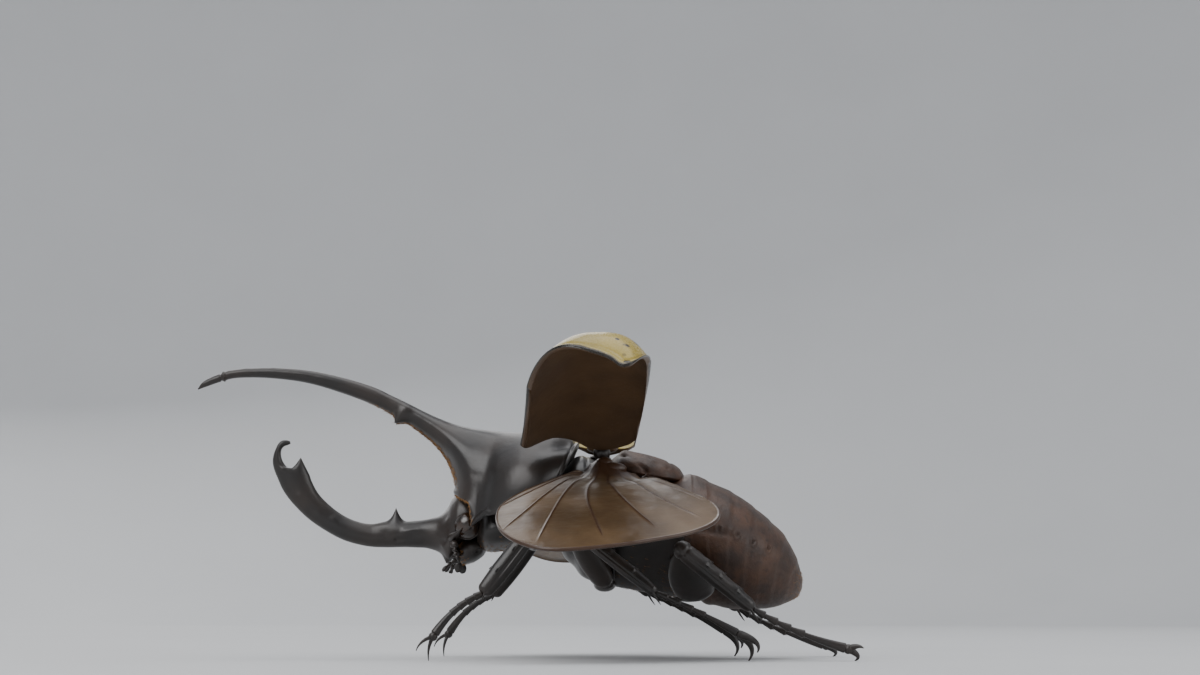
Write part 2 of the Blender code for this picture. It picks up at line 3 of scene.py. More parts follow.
import bpy
import numpy as np
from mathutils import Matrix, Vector


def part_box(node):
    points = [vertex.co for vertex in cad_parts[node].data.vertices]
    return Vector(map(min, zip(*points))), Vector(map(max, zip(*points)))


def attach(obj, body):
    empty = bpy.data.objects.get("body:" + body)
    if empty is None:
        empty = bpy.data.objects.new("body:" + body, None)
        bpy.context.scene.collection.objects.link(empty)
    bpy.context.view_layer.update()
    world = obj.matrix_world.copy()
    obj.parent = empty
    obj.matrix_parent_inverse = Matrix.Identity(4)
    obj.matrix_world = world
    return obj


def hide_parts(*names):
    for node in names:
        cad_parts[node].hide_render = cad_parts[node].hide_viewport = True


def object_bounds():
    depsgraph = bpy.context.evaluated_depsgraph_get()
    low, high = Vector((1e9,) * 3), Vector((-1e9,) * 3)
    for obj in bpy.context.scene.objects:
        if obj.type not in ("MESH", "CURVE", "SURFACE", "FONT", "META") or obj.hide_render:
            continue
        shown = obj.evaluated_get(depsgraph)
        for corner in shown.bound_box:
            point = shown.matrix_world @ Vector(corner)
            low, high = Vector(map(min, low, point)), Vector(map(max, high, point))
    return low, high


# A male Hercules beetle, life size, as it stands with its wing cases raised and its hind wings half open.
# Sizes and places are in millimetres, read along the animal from the foot of its wing case hinges: the
# head is on -X, the back is up and the left side is on -Y.
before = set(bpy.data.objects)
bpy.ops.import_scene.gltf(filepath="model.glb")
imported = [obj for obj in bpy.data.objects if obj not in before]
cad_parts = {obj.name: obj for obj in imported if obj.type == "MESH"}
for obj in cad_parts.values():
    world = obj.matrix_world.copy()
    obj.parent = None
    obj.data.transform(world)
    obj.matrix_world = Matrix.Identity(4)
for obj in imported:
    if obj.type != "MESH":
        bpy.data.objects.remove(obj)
cad_low, cad_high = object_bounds()


# ---- Pronotum and thoracic horn ----
# The first plate of the back and the long horn that grows from it are one piece of black horny shell. The
# plate overhangs the head in front, and its rear edge is a rolled rim round the narrow neck of the thorax.

MM = 0.001
HINGE_BALL = np.array([0.4, -9.0, 47.6])
hinge_low, hinge_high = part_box("wing_case_hinge_left")
foot_of_hinge = np.array([(hinge_low.x + hinge_high.x) / 2 - HINGE_BALL[0] * MM, 0.0, cad_low.z])

# Each rib: top x, z, waist x, z, bottom x, z, half width, and how square its upper and lower arches are.
HORN_AND_SHIELD = [
    (-94.9, 63.5, -95.0, 63.3, -94.9, 63.1, 0.3, 2, 2),
    (-93.6, 65.0, -93.5, 64.4, -93.3, 63.8, 0.7, 2, 2),
    (-90.2, 66.6, -90.0, 65.8, -89.9, 65.0, 0.95, 2, 2),
    (-85.7, 67.8, -85.7, 66.9, -85.7, 66.0, 1.05, 2, 2),
    (-78.0, 68.15, -78.0, 67.05, -78.0, 65.95, 1.2, 2, 2),
    (-69.9, 67.7, -69.6, 66.3, -69.4, 64.85, 1.5, 2, 2),
    (-62.0, 66.2, -61.6, 64.4, -61.2, 62.5, 1.8, 2, 2),
    (-54.0, 63.8, -53.5, 61.7, -53.0, 59.4, 2.1, 2, 2),
    (-49.4, 61.75, -48.9, 59.5, -48.4, 56.9, 2.4, 2, 2),
    (-45.0, 59.7, -44.4, 57.2, -43.6, 54.0, 3.0, 2, 2),
    (-40.4, 57.4, -40.0, 54.6, -39.4, 50.6, 4.0, 2, 2),
    (-35.9, 55.5, -35.2, 51.2, -36.4, 47.0, 5.6, 2, 2),
    (-32.3, 54.4, -31.4, 46.9, -34.7, 43.2, 8.3, 2, 2),
    (-28.3, 53.75, -28.6, 41.0, -34.1, 40.4, 10.8, 2, 2),
    (-24.6, 53.3, -27.6, 34.0, -34.0, 38.4, 12.9, 2.05, 2),
    (-21.0, 53.0, -25.5, 32.8, -28.0, 38.0, 16.2, 2.1, 2),
    (-16.5, 52.95, -20.5, 34.0, -22.0, 38.6, 18.6, 2.15, 2),
    (-11.0, 52.5, -15.5, 36.0, -15.5, 40.2, 19.2, 2.15, 2),
    (-6.6, 51.3, -11.4, 38.6, -10.4, 41.8, 17.6, 2.1, 2),
    (-5.0, 50.2, -9.6, 40.6, -8.6, 42.8, 15.8, 2.1, 2),
]
HORN_RING = 2.2
SHIELD_FRONT = 14.3
SHIELD_ROWS, SHIELD_AROUND, SHIELD_GATHER = 322, 168, 0.3
SMOOTHING_PASSES = 420
SHIELD_END = len(HORN_AND_SHIELD) - 1.0
HORN_RING_LUMPS = ((2.62, 0.10), (3.3, 0.07), (4.1, 0.06))
FORK_BASE, FORK_TIP = (-46.8, 2.0, 56.4), (-48.3, 2.5, 55.0)
FRONT_SPINE_BASE, FRONT_SPINE_TIP = (-29.0, 12.9, 33.2), (-29.8, 13.0, 30.2)


def curve_through(rows, at):
    """Catmull-Rom curve, read at places counted in rows: between two rows it is the cubic whose slope at
    each row is half the step from the row before to the row after."""
    rows = np.asarray(rows, float)
    padded = np.vstack([2 * rows[0] - rows[1], rows, 2 * rows[-1] - rows[-2]])
    at = np.asarray(at, float)
    i = np.clip(at.astype(int), 0, len(rows) - 2)
    t = (at - i)[:, None]
    a, b, c, d = padded[i], padded[i + 1], padded[i + 2], padded[i + 3]
    return 0.5 * (2 * b + (c - a) * t + (2 * a - 5 * b + 4 * c - d) * t**2 + (3 * b - a - 3 * c + d) * t**3)


def unit(vectors):
    """Each vector over its own length."""
    return vectors / (np.linalg.norm(vectors, axis=-1, keepdims=True) + 1e-9)


def ribbed(ribs, at, turn):
    """Rings across the mirror plane. At turn a round a rib, a point lies |cos a| to the power 2 / squareness
    of the half width out, and |sin a| to that power of the way from the waist to the top or the bottom."""
    rows = curve_through(ribs, at)[:, None]
    power = 2 / np.where(np.sin(turn) >= 0, rows[..., 7], rows[..., 8])
    lift = (np.abs(np.sin(turn)) ** power)[..., None]
    goal = np.where(np.sin(turn)[:, None] >= 0, rows[..., 0:2], rows[..., 4:6])
    spots = rows[..., 2:4] + (goal - rows[..., 2:4]) * lift
    out = np.sign(np.cos(turn)) * np.abs(np.cos(turn)) ** power * rows[..., 6]
    return np.stack([spots[..., 0], out, spots[..., 1]], axis=-1)


def turns(count, gather=0.0):
    """Angles once round a ring. A gather of up to 0.4 draws them towards the two sides, 0 and 180 degrees."""
    even = np.linspace(0, 2 * np.pi, count, endpoint=False)
    return even - gather * np.sin(2 * even)


def outward(grid):
    """Unit normals of a ringed grid: the step round times the step along, turned away from the middles of
    the rings."""
    round_step = np.roll(grid, -1, axis=1) - np.roll(grid, 1, axis=1)
    normal = unit(np.cross(round_step, np.gradient(grid, axis=0)))
    return normal * np.sign(np.sum(normal * (grid - grid.mean(axis=1, keepdims=True))))


def bell(value):
    """1 at zero, falling as e to the minus square of the value."""
    return np.exp(-(value**2))


def ramp(value, start, run):
    """0 up to start, and from there an even rise to 1 over the run. It falls instead for a run below 0."""
    return np.clip((value - start) / run, 0, 1)


def far_from(grid, start, end=None):
    """How far each point lies from a stretch of straight line, or from one spot. Both sides of the animal
    count as the side on +Y."""
    sided = grid * [1, 0, 1] + np.abs(grid) * [0, 1, 0]
    start = np.array(start, float)
    way = np.array(start if end is None else end, float) - start
    share = np.clip((sided - start) @ way / (way @ way + 1e-9), 0, 1)
    return np.linalg.norm(sided - start - share[..., None] * way, axis=-1)


def relief(grid, lumps, height=0.0):
    """Adds swellings to a height, or grooves where the size is below 0. Each lump is its size and its reach,
    then its one spot, or the start and the end of its line."""
    for size, reach, *line in lumps:
        height = height + size * bell(far_from(grid, *line) / reach)
    return height


def raised(grid, height):
    """The grid moved outwards by a height at each point."""
    return grid + outward(grid) * height[..., None]


def pulled(grid, base, tip, reach, sharp):
    """Draws a tooth out of the surface on both sides, from the surface's nearest point to base out to tip: a
    point moves by its nearness, 1 less its distance from there over the reach, to the power sharp."""
    nearest = grid[np.unravel_index(np.argmin(far_from(grid, base)), grid.shape[:2])]
    root = np.array([nearest[0], abs(nearest[1]) * np.sign(base[1]), nearest[2]])
    share = np.clip(1 - far_from(grid, root) / reach, 0, 1) ** sharp
    way = np.array(tip, float) - root
    side = np.sign(grid[..., 1]) if abs(base[1]) > 0 else np.zeros(grid.shape[:2])
    return grid + share[..., None] * np.stack([way[0] + 0 * side, way[1] * side, way[2] + 0 * side], axis=-1)


def calmed(grid, share, passes):
    """Rounds off creases: on each pass a point moves by its share of the way to the average of its four
    neighbours, two along the grid and two round it."""
    for _ in range(passes):
        longer = np.concatenate([grid[:1], grid, grid[-1:]])
        beside = np.roll(grid, 1, axis=1) + np.roll(grid, -1, axis=1)
        grid = grid + share[..., None] * ((longer[:-2] + longer[2:] + beside) / 4 - grid)
    return grid


def end_rings(ring, steps):
    """Rings that close an end: each step is a size about the ring's middle, and how far it moves along X."""
    middle = ring.mean(axis=0)
    return np.array([middle + (ring - middle) * size + [shift, 0, 0] for size, shift in steps])


def loft(grid):
    """A closed shape: four-sided faces between neighbouring rings, and a fan from the middle of each end
    ring."""
    count, around = grid.shape[:2]
    here = np.arange(count * around).reshape(count, around)
    after = np.roll(here, -1, axis=1)
    quads = np.stack([here[:-1], after[:-1], after[1:], here[1:]], axis=-1).reshape(-1, 4)
    first = np.stack([after[0], here[0], np.full(around, count * around)], axis=-1)
    last = np.stack([here[-1], after[-1], np.full(around, count * around + 1)], axis=-1)
    points = np.vstack([grid.reshape(-1, grid.shape[2]), grid[:1].mean(axis=1), grid[-1:].mean(axis=1)])
    return points, quads, np.vstack([first, last])


def faced_out(shape):
    """The shape with its faces turned if the volume inside, the sum of a . (b x c) over its triangles, is
    negative."""
    points, quads, fans = shape
    a, b, c = np.moveaxis(points[np.vstack([quads[:, :3], quads[:, [0, 2, 3]], fans]), :3], 1, 0)
    if np.sum(a * np.cross(b, c)) < 0:
        return points, quads[:, ::-1], fans[:, ::-1]
    return shape


def put(name, shapes, finish, nodes, marks=()):
    """One piece from closed shapes, in place of its CAD nodes. The columns of the points after x, y and z
    become the piece's marks, which its material reads."""
    shapes = [faced_out(shape) for shape in shapes]
    first = np.cumsum([0] + [len(points) for points, _, _ in shapes])
    points = np.vstack([points for points, _, _ in shapes])
    quads = np.vstack([quads + start for (_, quads, _), start in zip(shapes, first)])
    fans = np.vstack([fans + start for (_, _, fans), start in zip(shapes, first)])
    mesh = bpy.data.meshes.new(name)
    mesh.vertices.add(len(points))
    mesh.vertices.foreach_set("co", (points[:, :3] * MM + foot_of_hinge).ravel())
    mesh.loops.add(quads.size + fans.size)
    mesh.loops.foreach_set("vertex_index", np.concatenate([quads.ravel(), fans.ravel()]))
    starts = np.concatenate([np.arange(len(quads)) * 4, quads.size + np.arange(len(fans)) * 3])
    mesh.polygons.add(len(starts))
    mesh.polygons.foreach_set("loop_start", starts)
    mesh.update(calc_edges=True)
    mesh.shade_smooth()
    for column, mark in enumerate(marks, 3):
        mesh.attributes.new(mark, "FLOAT", "POINT").data.foreach_set("value", points[:, column])
    mesh.materials.append(finish)
    piece = bpy.data.objects.new(name, mesh)
    bpy.context.scene.collection.objects.link(piece)
    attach(piece, "root")
    if nodes:
        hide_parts(*nodes)
    return piece


class Link:
    """A shader socket. + - and * with a number or another link add a Math node, and add makes any other
    node."""

    def __init__(self, tree, socket=None):
        self.tree = tree
        self.socket = socket

    def add(self, kind, settings=None, inputs=None, output=0):
        """One node: its settings, and then its inputs."""
        node = self.tree.nodes.new("ShaderNode" + kind)
        for key, value in (settings or {}).items():
            setattr(node, key, value)
        for key, value in (inputs or {}).items():
            if isinstance(value, Link):
                self.tree.links.new(value.socket, node.inputs[key])
            else:
                node.inputs[key].default_value = value
        return Link(self.tree, node.outputs[output])

    def math(self, operation, *values):
        return self.add("Math", {"operation": operation}, dict(enumerate(values)))

    def __add__(self, other):
        return self.math("ADD", self, other)

    def __sub__(self, other):
        return self.math("SUBTRACT", self, other)

    def __rsub__(self, other):
        return self.math("SUBTRACT", other, self)

    def __mul__(self, other):
        return self.math("MULTIPLY", self, other)

    __radd__ = __add__
    __rmul__ = __mul__

    def fade(self, low, high):
        """0 up to low, 1 from high on, and a smooth rise between."""
        inputs = {"Value": self, "From Min": low, "From Max": high}
        return self.add("MapRange", {"interpolation_type": "SMOOTHSTEP"}, inputs)

    def noise(self, scale, detail=2.0, place=None):
        """Soft clouds, scale of them to a millimetre."""
        inputs = {"Vector": place or self.place(), "Scale": scale, "Detail": detail}
        return self.add("TexNoise", None, inputs)

    def cells(self, scale):
        """Distance to the nearest of scattered dots, about scale of them to a millimetre."""
        return self.add("TexVoronoi", None, {"Vector": self.place(), "Scale": scale})

    def place(self, stretch=(1, 1, 1)):
        """Where a point lies on the model, in millimetres, each axis times its stretch."""
        inputs = {"Vector": self.add("TexCoord", None, None, "Object")}
        inputs["Scale"] = tuple(s / MM for s in stretch)
        return self.add("Mapping", None, inputs)

    def mix(self, factor, plain, other):
        """The plain colour where the factor is 0, the other where it is 1."""
        colours = [c if isinstance(c, Link) else (*c, 1.0) for c in (plain, other)]
        return self.add("Mix", {"data_type": "RGBA"}, {0: factor, 6: colours[0], 7: colours[1]}, 2)

    def bump(self, height, depth, under=None):
        """A surface whose height runs over depth millimetres, on top of the bumps under it."""
        inputs = {"Height": height, "Distance": depth * MM, "Strength": 1.0}
        if under:
            inputs["Normal"] = under
        return self.add("Bump", None, inputs)


def finish_of(name, fixed, paint):
    """A material: fixed holds the shader's constant sockets, and paint gives the links that feed the
    others."""
    made = bpy.data.materials.new(name)
    made.use_nodes = True
    shader = made.node_tree.nodes["Principled BSDF"]
    for key, value in fixed.items():
        shader.inputs[key].default_value = value
    for key, link in paint(Link(made.node_tree)).items():
        made.node_tree.links.new(link.socket, shader.inputs[key])
    return made


def black_horn(start):
    """Polished black shell with a brown cast, scattered fine punctures, and dull handling haze between."""
    haze = start.noise(0.10, 3.0).fade(0.3, 0.75)
    grain = start.noise(3.0, 4.0)
    pores = 1 - start.cells(1.5).fade(0.06, 0.20)
    waves = start.noise(0.30, 2.0)
    colour = start.mix(haze, (0.013, 0.011, 0.010), (0.026, 0.018, 0.014))
    return {
        "Base Color": start.mix(pores * 0.5, colour, (0.006, 0.005, 0.004)),
        "Roughness": 0.27 + 0.07 * haze + 0.08 * grain + 0.10 * pores,
        "Normal": start.bump(grain, 0.016, start.bump(0 - pores, 0.012, start.bump(waves, 0.10))),
    }


BLACK_SHELL = finish_of("black_shell", {"Specular IOR Level": 0.55}, black_horn)

# Each lump of the shield: how high it is, how far it reaches, and its spot or its line's two ends.
SHIELD_LUMPS = [
    (-1.0, 1.7, (-12.5, 12.8, 47.0), (-7.2, 9.6, 50.0)),
    (0.45, 1.6, (-14.2, 9.5, 49.9), (-8.5, 6.5, 51.6)),
    (0.8, 5.5, (-19.8, 17.5, 43.4)),
    (-0.12, 0.9, (-29.4, 10.5, 42.6), (-25.6, 13.5, 41.8)),
    (0.25, 2.8, (-43.0, 3.2, 53.0), (-32.0, 8.0, 47.6)),
    (0.30, 1.4, (-28.9, 13, 32.0), (-27.4, 12.6, 37.0)),
    (0.32, 1.1, (-46.8, 2.4, 56.8), (-45.6, 2.6, 58.4)),
]
REAR_ROLL = [(0.985, 0.12), (0.965, 0.05), (0.955, -0.5), (0.94, -2.2), (0.4, -2.6)]

station = np.linspace(0, SHIELD_END, SHIELD_ROWS)
shield_turn = turns(SHIELD_AROUND, SHIELD_GATHER)
shield = ribbed(HORN_AND_SHIELD, station, shield_turn)
shield_row = station[:, None]

# The flank between the horn and the plate, where the ribs change most, is smoothed.
flank = ramp(shield_row, 10.2, 1.8) * ramp(shield_row, 14.4, -1.8) ** 2
flank = flank * np.clip(1.25 - 1.4 * np.abs(np.sin(shield_turn)), 0, 1)
shield = calmed(shield, flank, SMOOTHING_PASSES)

# The horn's own fullness, the ring near its tip, and the small lumps behind the ring.
height = 0.13 * ramp(shield_row, 0, 1.2) * ramp(shield_row, 9.0, -2)
height = height + 0.30 * bell((shield_row - HORN_RING - 0.12) / 0.08)
height = height - 0.22 * bell((shield_row - HORN_RING + 0.05) / 0.05)
for lump, size in HORN_RING_LUMPS:
    height = height + size * bell((shield_row - lump) / 0.10) * bell((shield_turn - 1.9) / 0.8)

# The rolled side edges, the rolled rear edge and the front edge, and grooves along the first two.
on_plate = ramp(shield_row, SHIELD_FRONT, 1.6)
above = np.clip(np.sin(shield_turn) * 3, 0, 1)
height = height + 0.40 * on_plate * bell(np.sin(shield_turn) / 0.04)
height = height - 0.12 * on_plate * bell((np.sin(shield_turn) - 0.12) / 0.06)
height = height + 0.45 * above * bell((shield_row - SHIELD_END + 0.12) / 0.12)
height = height - 0.30 * above * bell((shield_row - SHIELD_END + 0.50) / 0.22)
height = height + 0.16 * bell((shield_row - 13.95) / 0.07) * np.clip(-2 * np.sin(shield_turn), 0, 1)

shield = raised(shield, relief(shield, SHIELD_LUMPS, height))
shield = pulled(shield, FORK_BASE, FORK_TIP, 2.6, 1.5)
shield = pulled(shield, FRONT_SPINE_BASE, FRONT_SPINE_TIP, 3.4, 1.5)
shield_skin = np.concatenate([shield, end_rings(shield[-1], REAR_ROLL)])
put("shield_and_horn", [loft(shield_skin)], BLACK_SHELL, ["pronotum", "thoracic_horn"])


# ---- Head and cephalic horn ----
# The head is a small capsule under the shield. Its horn curves forwards and up, carries one tooth near its
# root and forks at the tip into a tooth and a round hook. A ledge of the cheek cuts into each eye.

HEAD_RIBS = [
    (-26.8, 36.0, -27.0, 31.8, -27.0, 29.6, 6.4, 2.4, 2),
    (-29.8, 38.2, -30.0, 31.8, -30.0, 28.6, 8.4, 2.5, 2),
    (-32.6, 38.9, -33.0, 31.0, -33.2, 26.4, 8.4, 2.4, 2),
    (-34.5, 37.6, -34.6, 29.4, -34.6, 23.4, 7.4, 2.3, 2.3),
    (-35.7, 35.4, -35.9, 28.0, -35.7, 22.7, 5.9, 2.2, 2.3),
    (-37.6, 33.5, -37.8, 28.5, -37.7, 24.7, 4.2, 2, 2.1),
]
# Each rib of the horn: its inner edge's x and z, its outer edge's x and z, and its half width.
HORN_RIBS = [
    (-40.0, 32.75, -40.4, 25.7, 3.1), (-42.6, 32.35, -43.0, 25.9, 2.75), (-45.8, 32.1, -46.4, 26.0, 2.5),
    (-49.7, 32.2, -50.2, 25.95, 2.35), (-53.75, 31.5, -54.6, 26.2, 2.25), (-57.6, 32.25, -59.8, 27.5, 2.2),
    (-61.0, 33.9, -64.2, 29.7, 2.15), (-64.1, 36.3, -68.6, 32.7, 2.1), (-66.4, 38.8, -72.3, 36.3, 2.05),
    (-67.9, 41.6, -74.6, 39.4, 1.95), (-68.7, 43.5, -75.9, 42.2, 1.8), (-70.6, 44.5, -76.6, 43.9, 1.6),
    (-72.8, 44.45, -76.95, 45.3, 1.35), (-74.0, 45.0, -77.0, 46.4, 1.2), (-74.9, 46.3, -76.8, 47.7, 1.08),
    (-75.25, 47.7, -76.4, 49.0, 1.0), (-75.1, 48.95, -75.8, 50.3, 0.9), (-74.45, 49.7, -75.0, 51.05, 0.8),
    (-73.6, 50.0, -73.95, 51.2, 0.66), (-72.95, 50.3, -73.1, 50.95, 0.35),
]
EYE_PLACE = np.array([-30.7, -7.2, 30.9])
EYE_RADIUS = 3.2
# The ledge's middle line. This row and each stalk's are x, y, z and radius.
CANTHUS = [
    (-34.7, -6.0, 27.9, 1.1), (-34.0, -7.9, 28.3, 0.95), (-33.3, -9.3, 28.8, 0.66),
    (-32.6, -10.2, 29.4, 0.36), (-31.9, -10.5, 30.2, 0.10),
]
HORN_TOOTH_BASE, HORN_TOOTH_TIP = (-47.8, 0, 32.1), (-47.95, 0, 35.3)
HORN_FORK_BASE, HORN_FORK_TIP = (-70.5, 0, 44.5), (-70.5, 0, 47.1)
CHIN_BASE, CHIN_TIP = (-36.2, 1.8, 23.4), (-36.0, 2.2, 22.2)
HOOK_RIB = 14
HORN_LUMPS = ((-62.2, 32.9), (-76.2, 42.4), (-75.6, 40.6), (-74.9, 44.2), (-66.0, 34.2), (-70.4, 38.1))
HEAD_LUMPS = [
    (-0.35, 0.6, (-36.5, 5.5, 27.2), (-47.5, 2.3, 27.6)),
    (0.30, 0.6, (-37.0, 5.0, 26.0), (-44.0, 2.5, 26.4)),
    (0.35, 0.9, (-36.0, 5.8, 32.0), (-45.5, 2.5, 29.5)),
    (-0.25, 1.3, (-50.5, 1.9, 29.3), (-66.0, 2.0, 34.5)),
    *((0.14, 0.8, (x, 1.9, z)) for x, z in HORN_LUMPS),
]

horn_ribs = [(ix, iz, (ix + ox) / 2, (iz + oz) / 2, ox, oz, half, 2, 2) for ix, iz, ox, oz, half in HORN_RIBS]
head_ribs = HEAD_RIBS + horn_ribs
station = np.linspace(0, len(head_ribs) - 1, 372)
head = ribbed(head_ribs, station, turns(132))
before_hook = station[:, None] - len(HEAD_RIBS) - HOOK_RIB
head = raised(head, relief(head, HEAD_LUMPS) + 0.12 * bell(before_hook / 2.6))
head = pulled(head, HORN_TOOTH_BASE, HORN_TOOTH_TIP, 2.7, 2.4)
head = pulled(head, HORN_FORK_BASE, HORN_FORK_TIP, 2.3, 1.4)
head = pulled(head, CHIN_BASE, CHIN_TIP, 1.5, 1.2)


def ball(centre, sizes, rings=28, around=40):
    """An egg: at latitude a and turn t a point lies cos a cos t, cos a sin t and sin a of its half sizes
    out."""
    latitude = np.linspace(-np.pi / 2, np.pi / 2, rings + 2)[1:-1, None]
    turn = turns(around)
    spots = [np.cos(latitude) * np.cos(turn), np.cos(latitude) * np.sin(turn), np.sin(latitude) + 0 * turn]
    return np.stack(spots, axis=-1) * np.array(sizes) + np.array(centre)


def hoop(centre, radius, thick, axis):
    """A bead bent to a ring about the axis. Its rings of points run round it, so the last meets the
    first."""
    axis = unit(np.array(axis, float))
    first = unit(np.cross(axis, [0.3, 0.1, 1.0]))
    second = np.cross(axis, first)
    turn = turns(72)[:, None, None]
    spoke = first * np.cos(turn) + second * np.sin(turn)
    bead = turns(12)[None, :, None]
    return np.array(centre) + spoke * (radius + thick * np.cos(bead)) + axis * (thick * np.sin(bead))


def closed_hoop(grid):
    """The faces of a hoop: four-sided all over, wrapping both ways."""
    here = np.arange(grid.shape[0] * grid.shape[1]).reshape(grid.shape[:2])
    after = np.roll(here, -1, axis=0)
    quads = np.stack([here, after, np.roll(after, -1, axis=1), np.roll(here, -1, axis=1)], axis=-1)
    return grid.reshape(-1, 3), quads.reshape(-1, 4), np.zeros((0, 3), int)


def mirrored(grid):
    """The same grid on the other side of the animal."""
    return grid * np.array([1, -1, 1] + [1] * (grid.shape[-1] - 3))


def tube(path, wide, deep, side, around):
    """Oval rings along a path: wide is their half size towards side, deep the half size across that."""
    path = np.asarray(path, float)
    way = unit(np.gradient(path, axis=0))
    across = unit(np.array(side, float) - way * (way @ np.array(side, float))[:, None])
    rise = np.cross(way, across)
    turn = turns(around)[None, :, None]
    spoke = across[:, None] * np.cos(turn) * np.reshape(wide, (-1, 1, 1))
    return path[:, None] + spoke + rise[:, None] * np.sin(turn) * np.reshape(deep, (-1, 1, 1))


def dome(distance, radius):
    """Height of a quarter circle: 0 at no distance, rising to 1 at the radius."""
    return np.sqrt(1 - (1 - np.clip(distance / radius, 0.004, 1)) ** 2)


def crowded(count):
    """Places from 0 to 1 that stand closer together towards both ends, as a cosine does."""
    return 0.5 - 0.5 * np.cos(np.linspace(0, np.pi, count))


def stalk(rows, count, around):
    """A round stalk through rows of x, y, z and radius, with its ends rounded off."""
    at = curve_through(rows, crowded(count) * (len(rows) - 1))
    run = np.concatenate([[0], np.cumsum(np.linalg.norm(np.diff(at[:, :3], axis=0), axis=1))])
    size = at[:, 3] * dome(np.minimum(run, run[-1] - run), max(at[0, 3], at[-1, 3]))
    return tube(at[:, :3], size, size, (0, 1, 0.1), around)


EYE_AXIS = (-0.25, -1.0, 0.12)
SOCKET_OUT, SOCKET_GAP, SOCKET_BEAD = 0.15, 0.05, 0.19
socket_place = EYE_PLACE + unit(np.array(EYE_AXIS)) * SOCKET_OUT
eye_hoop = hoop(socket_place, EYE_RADIUS + SOCKET_GAP, SOCKET_BEAD, EYE_AXIS)
canthus = stalk(CANTHUS, 60, 24)
head_shapes = [loft(head), closed_hoop(eye_hoop), closed_hoop(mirrored(eye_hoop))]
head_shapes = [*head_shapes, loft(canthus), loft(mirrored(canthus))]
put("head_and_horn", head_shapes, BLACK_SHELL, ["head", "cephalic_horn"])


# ---- Eyes ----
# Two round compound eyes, seated in the cheeks: a hard clear brown skin over hundreds of tiny lenses.


def lens_field(start):
    """Amber brown in soft clouds, under scattered tiny domed lenses."""
    lenses = start.cells(5.0)
    depth = start.noise(0.4, 2.0)
    return {
        "Base Color": start.mix(depth.fade(0.3, 0.7), (0.012, 0.006, 0.003), (0.036, 0.016, 0.007)),
        "Roughness": 0.10 + 0.12 * lenses,
        "Normal": start.bump(1 - lenses, 0.02),
    }


def put_pair(name, node, shapes, finish, marks=(), ends=("left", "right")):
    """The left piece from closed shapes, and its mirror image on the right."""
    over = [(mirrored(points), quads, fans) for points, quads, fans in shapes]
    put(f"{name}_{ends[0]}", shapes, finish, [f"{node}_left"], marks)
    put(f"{name}_{ends[1]}", over, finish, [f"{node}_right"], marks)


CLEAR_COAT = {"Specular IOR Level": 0.6, "Coat Weight": 0.5, "Coat Roughness": 0.05}
EYE_LENS = finish_of("eye_lens", CLEAR_COAT, lens_field)
eye = ball(EYE_PLACE, [EYE_RADIUS] * 3, 44, 64)
put_pair("eye", "eye", [loft(eye)], EYE_LENS, ends=("near", "far"))


# ---- Feelers and mouth ----
# Each antenna is a stout first joint, a string of beads and a club of three leaves. Two jointed palps hang
# on each side of the mouth, whose jaws and hairy lip close it from below.


ANTENNA_STALK = [
    (-34.2, -7.2, 26.6, 0.55), (-33.9, -8.3, 26.6, 0.85), (-33.7, -9.3, 26.2, 0.95),
    (-33.6, -9.6, 25.6, 0.42), (-33.6, -9.75, 25.1, 0.58), (-33.5, -9.85, 24.7, 0.34),
    (-33.4, -9.9, 24.2, 0.5), (-33.2, -9.95, 23.8, 0.3), (-33.0, -10.0, 23.4, 0.42),
    (-32.8, -10.0, 23.0, 0.26), (-32.6, -10.0, 22.5, 0.28), (-32.5, -10.0, 22.0, 0.38),
]
CLUB_PLACE = np.array([-32.7, -10.0, 21.1])
CLUB_LEAF = (0.72, 0.2, 1.15)
CLUB_STEP = np.array([0.18, 0.32, 0.05])
club = [ball(CLUB_PLACE + CLUB_STEP * leaf, CLUB_LEAF, 16, 24) for leaf in (-1, 0, 1)]
antenna = [loft(grid) for grid in (stalk(ANTENNA_STALK, 90, 16), *club)]
put_pair("antenna", "antenna", antenna, BLACK_SHELL, ends=("near", "far"))

LONG_PALP = [
    (-33.2, -3.4, 23.2, 0.42), (-34.0, -3.9, 22.7, 0.5), (-34.6, -4.3, 22.3, 0.27),
    (-35.1, -4.7, 21.9, 0.46), (-35.5, -5.0, 21.6, 0.25), (-35.9, -5.2, 21.2, 0.42),
    (-36.3, -5.35, 20.7, 0.48), (-36.6, -5.45, 20.2, 0.28),
]
SHORT_PALP = [
    (-33.0, -2.0, 22.9, 0.36), (-33.8, -2.3, 22.2, 0.42), (-34.2, -2.5, 21.7, 0.24),
    (-34.6, -2.7, 21.2, 0.38), (-34.8, -2.8, 20.7, 0.22), (-35.0, -2.9, 20.2, 0.36),
    (-35.1, -3.0, 19.8, 0.22),
]
palps = [loft(stalk(LONG_PALP, 60, 14)), loft(stalk(SHORT_PALP, 50, 12))]
put_pair("palps", "palp", palps, BLACK_SHELL, ends=("near", "far"))


def moulded(ribs, rows, around, lumps, rim=(0.0, 0.0, 1.0), swell=0.0):
    """A plate through its ribs with its lumps and grooves, all of it swollen by swell, and with a raised rim
    across it: how high, at which rib, and its reach in ribs."""
    station = np.linspace(0, len(ribs) - 1, rows)
    grid = ribbed(ribs, station, turns(around))
    size, place, reach = rim
    return raised(grid, relief(grid, lumps, swell + size * bell((station[:, None] - place) / reach)))


